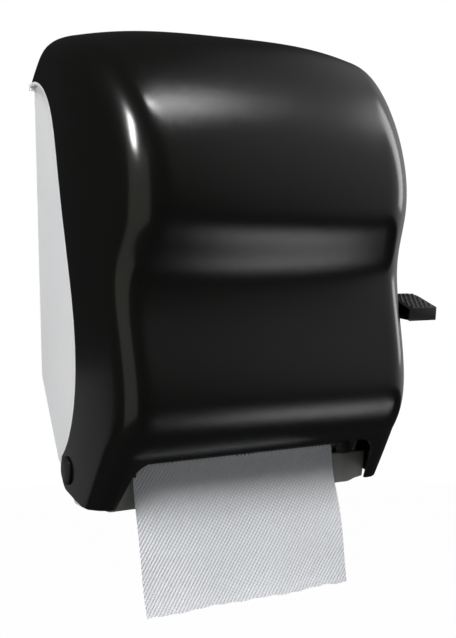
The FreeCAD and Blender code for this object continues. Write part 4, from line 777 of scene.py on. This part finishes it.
# the dots again as bump, the ranks with a fifth of the rows' weight
emboss_bump = add_node(paper, "ShaderNodeBump", Strength=0.8, Distance=0.0006)
emboss = add_node(paper, "ShaderNodeMath", operation="MULTIPLY_ADD")
emboss.inputs[1].default_value = 0.2
BANDS_AT_PITCH = 10.83
for way, socket in ((ROW_WAY, 2), (RANK_WAY, 0)):
    turned = (0.0, 0.0, math.atan2(way[1], way[0]))
    swing = add_node(paper, "ShaderNodeMapping", vector_type="TEXTURE", Rotation=turned)
    bands = add_node(paper, "ShaderNodeTexWave", Scale=BANDS_AT_PITCH, Distortion=0.0)
    link(paper, where.outputs["UV"], swing.inputs["Vector"])
    link(paper, swing.outputs["Vector"], bands.inputs["Vector"])
    link(paper, bands.outputs["Fac"], emboss.inputs[socket])
link(paper, emboss.outputs[0], emboss_bump.inputs["Height"])
link(paper, fibre_bump.outputs["Normal"], emboss_bump.inputs["Normal"])
feed(paper, emboss_bump.outputs["Normal"], "Normal")
tone = add_node(paper, "ShaderNodeTexNoise", Scale=14.0, Detail=5.0, Roughness=0.6)
tone_ramp = add_node(paper, "ShaderNodeValToRGB")
PAPER_TONES = (0.71, 0.72, 0.745, 1.0), (0.75, 0.76, 0.785, 1.0)
for stop, place, colour in zip(tone_ramp.color_ramp.elements, (0.3, 0.7), PAPER_TONES):
    stop.position = place
    stop.color = colour
link(paper, where.outputs["UV"], tone.inputs["Vector"])
link(paper, tone.outputs["Fac"], tone_ramp.inputs["Fac"])
feed(paper, tone_ramp.outputs["Color"], "Base Color")
towel.data.materials.append(paper)
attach(towel, "wall_unit")
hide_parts("towel_tail")
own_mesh(towel)


# ---- mechanism plates ---------------------------------------------------------------------------
# Two upright charcoal plates carry the rollers and the lever's shaft. Screws through their flanges hold
# them to the back, two steel rods tie them together, and a bent guide stands behind the towel at the
# mouth. All pieces from here on keep their own solids.


def finish(material, *names):
    """Give nodes that keep their own solids a finish."""
    for name in names:
        nodes[name].data.materials.clear()
        nodes[name].data.materials.append(material)


charcoal = paint("charcoal_moulding", (0.03, 0.03, 0.032), 0.5)
grain_bump(charcoal, 500.0, 0.15, 0.0002)
finish(charcoal, "frame_left", "frame_right", "paper_guide")
steel = paint("zinc_steel", (0.56, 0.57, 0.58), 0.32, Metallic=1.0)
shaded(steel, 0.26, 0.4, 60.0, "Roughness")
finish(steel, "frame_screws", "tie_rods")


# ---- roll arms and cradle -----------------------------------------------------------------------
# Two grey moulded arms are screwed to the back and hold the roll between their pins. Below them a
# trough of the same plastic takes a nearly used roll.

grey_frame = paint("grey_moulding", (0.5, 0.51, 0.52), 0.45)
grain_bump(grey_frame, 500.0, 0.15, 0.0002)
finish(grey_frame, "roll_arm_left", "roll_arm_right", "stub_cradle")
finish(steel, "arm_screws")


# ---- towel roll ---------------------------------------------------------------------------------
# The roll of towel paper is wound on a cardboard core. A grey moulded hub in each end of the core turns
# on its arm's pin.

cardboard = paint("core_board", (0.42, 0.3, 0.19), 0.85)
grain_bump(cardboard, 300.0, 0.3, 0.0003)
shaded(cardboard, (0.38, 0.27, 0.17), (0.46, 0.34, 0.22), 40.0)
rolled_paper = paint("rolled_paper", (0.74, 0.735, 0.725), 0.9)
grain_bump(rolled_paper, 350.0, 0.4, 0.0004)
# the wound layers show as fine rings about the roll's axis
coordinates = add_node(rolled_paper, "ShaderNodeTexCoord")
to_axis = add_node(rolled_paper, "ShaderNodeMapping", Location=(0.0, 0.12, -0.045))
layers = add_node(rolled_paper, "ShaderNodeTexWave", wave_type="RINGS", rings_direction="X")
for socket, value in (("Scale", 130.0), ("Distortion", 1.5), ("Detail", 3.0)):
    layers.inputs[socket].default_value = value
link(rolled_paper, coordinates.outputs["Object"], to_axis.inputs["Vector"])
link(rolled_paper, to_axis.outputs["Vector"], layers.inputs["Vector"])
layer_tone = blend(rolled_paper, layers.outputs["Fac"], (0.66, 0.65, 0.635), (0.78, 0.775, 0.765))
feed(rolled_paper, layer_tone, "Base Color")
finish(rolled_paper, "towel_roll")
finish(cardboard, "roll_core")
finish(grey_frame, "roll_hub_left", "roll_hub_right")


# ---- rollers ------------------------------------------------------------------------------------
# The drive roller and the pressure roller are steel shafts with moulded cores and ground rubber tyres.
# The drive shaft turns in nylon bushes, and small springs press the other roller's blocks forward.

rubber = paint("roller_rubber", (0.045, 0.045, 0.047), 0.75)
grain_bump(rubber, 900.0, 0.35, 0.0003)
nylon = paint("natural_nylon", (0.72, 0.7, 0.63), 0.42, Subsurface_Weight=0.05)
grain_bump(nylon, 400.0, 0.12, 0.0002)
spring_steel = paint("spring_steel", (0.42, 0.42, 0.43), 0.28, Metallic=1.0)
shaded(spring_steel, 0.22, 0.34, 90.0, "Roughness")
finish(steel, "drive_shaft", "press_shaft")
finish(grey_frame, "drive_roller", "press_roller")
finish(rubber, "drive_roller_tyres", "press_roller_tyres")
finish(nylon, "drive_bushes", "press_blocks")
finish(spring_steel, "press_springs")


# ---- tear bar -----------------------------------------------------------------------------------
# A serrated steel strip is fixed behind a black acetal carrier that spans the gap between the plates at
# the top of the mouth.

finish(steel, "tear_bar")
finish(black_acetal, "tear_bar_carrier")


# ---- lever train --------------------------------------------------------------------------------
# The lever's steel shaft turns in two nylon bushes and carries a moulded toothed sector. A screw holds
# the lever on it and a clip keeps it in place. The sector drives a pinion, which turns the drive shaft
# through a one-way clutch, and a coil spring brings the lever back.

finish(steel, "lever_shaft", "lever_screw", "one_way_clutch")
finish(nylon, "lever_bushes", "sector_gear", "drive_pinion")
finish(spring_steel, "lever_clip", "return_spring")


# ---- transfer bar -------------------------------------------------------------------------------
# A nylon bar on two short arms tips about pins in the plates and tucks a new roll's end into the
# rollers.

finish(nylon, "transfer_bar")


# ---- lock ---------------------------------------------------------------------------------------
# The plated barrel sits in the tube in the cover's top, and its steel cam turns behind the wall unit's
# catch.

plated = paint("plated_lock", (0.66, 0.66, 0.67), 0.18, Metallic=1.0)
shaded(plated, 0.14, 0.24, 120.0, "Roughness")
finish(plated, "lock_barrel")
finish(steel, "lock_cam")


# ---- end ----------------------------------------------------------------------------------------
# Nothing is left selected and the scene is brought up to date.

bpy.ops.object.select_all(action="DESELECT")
bpy.context.view_layer.update()
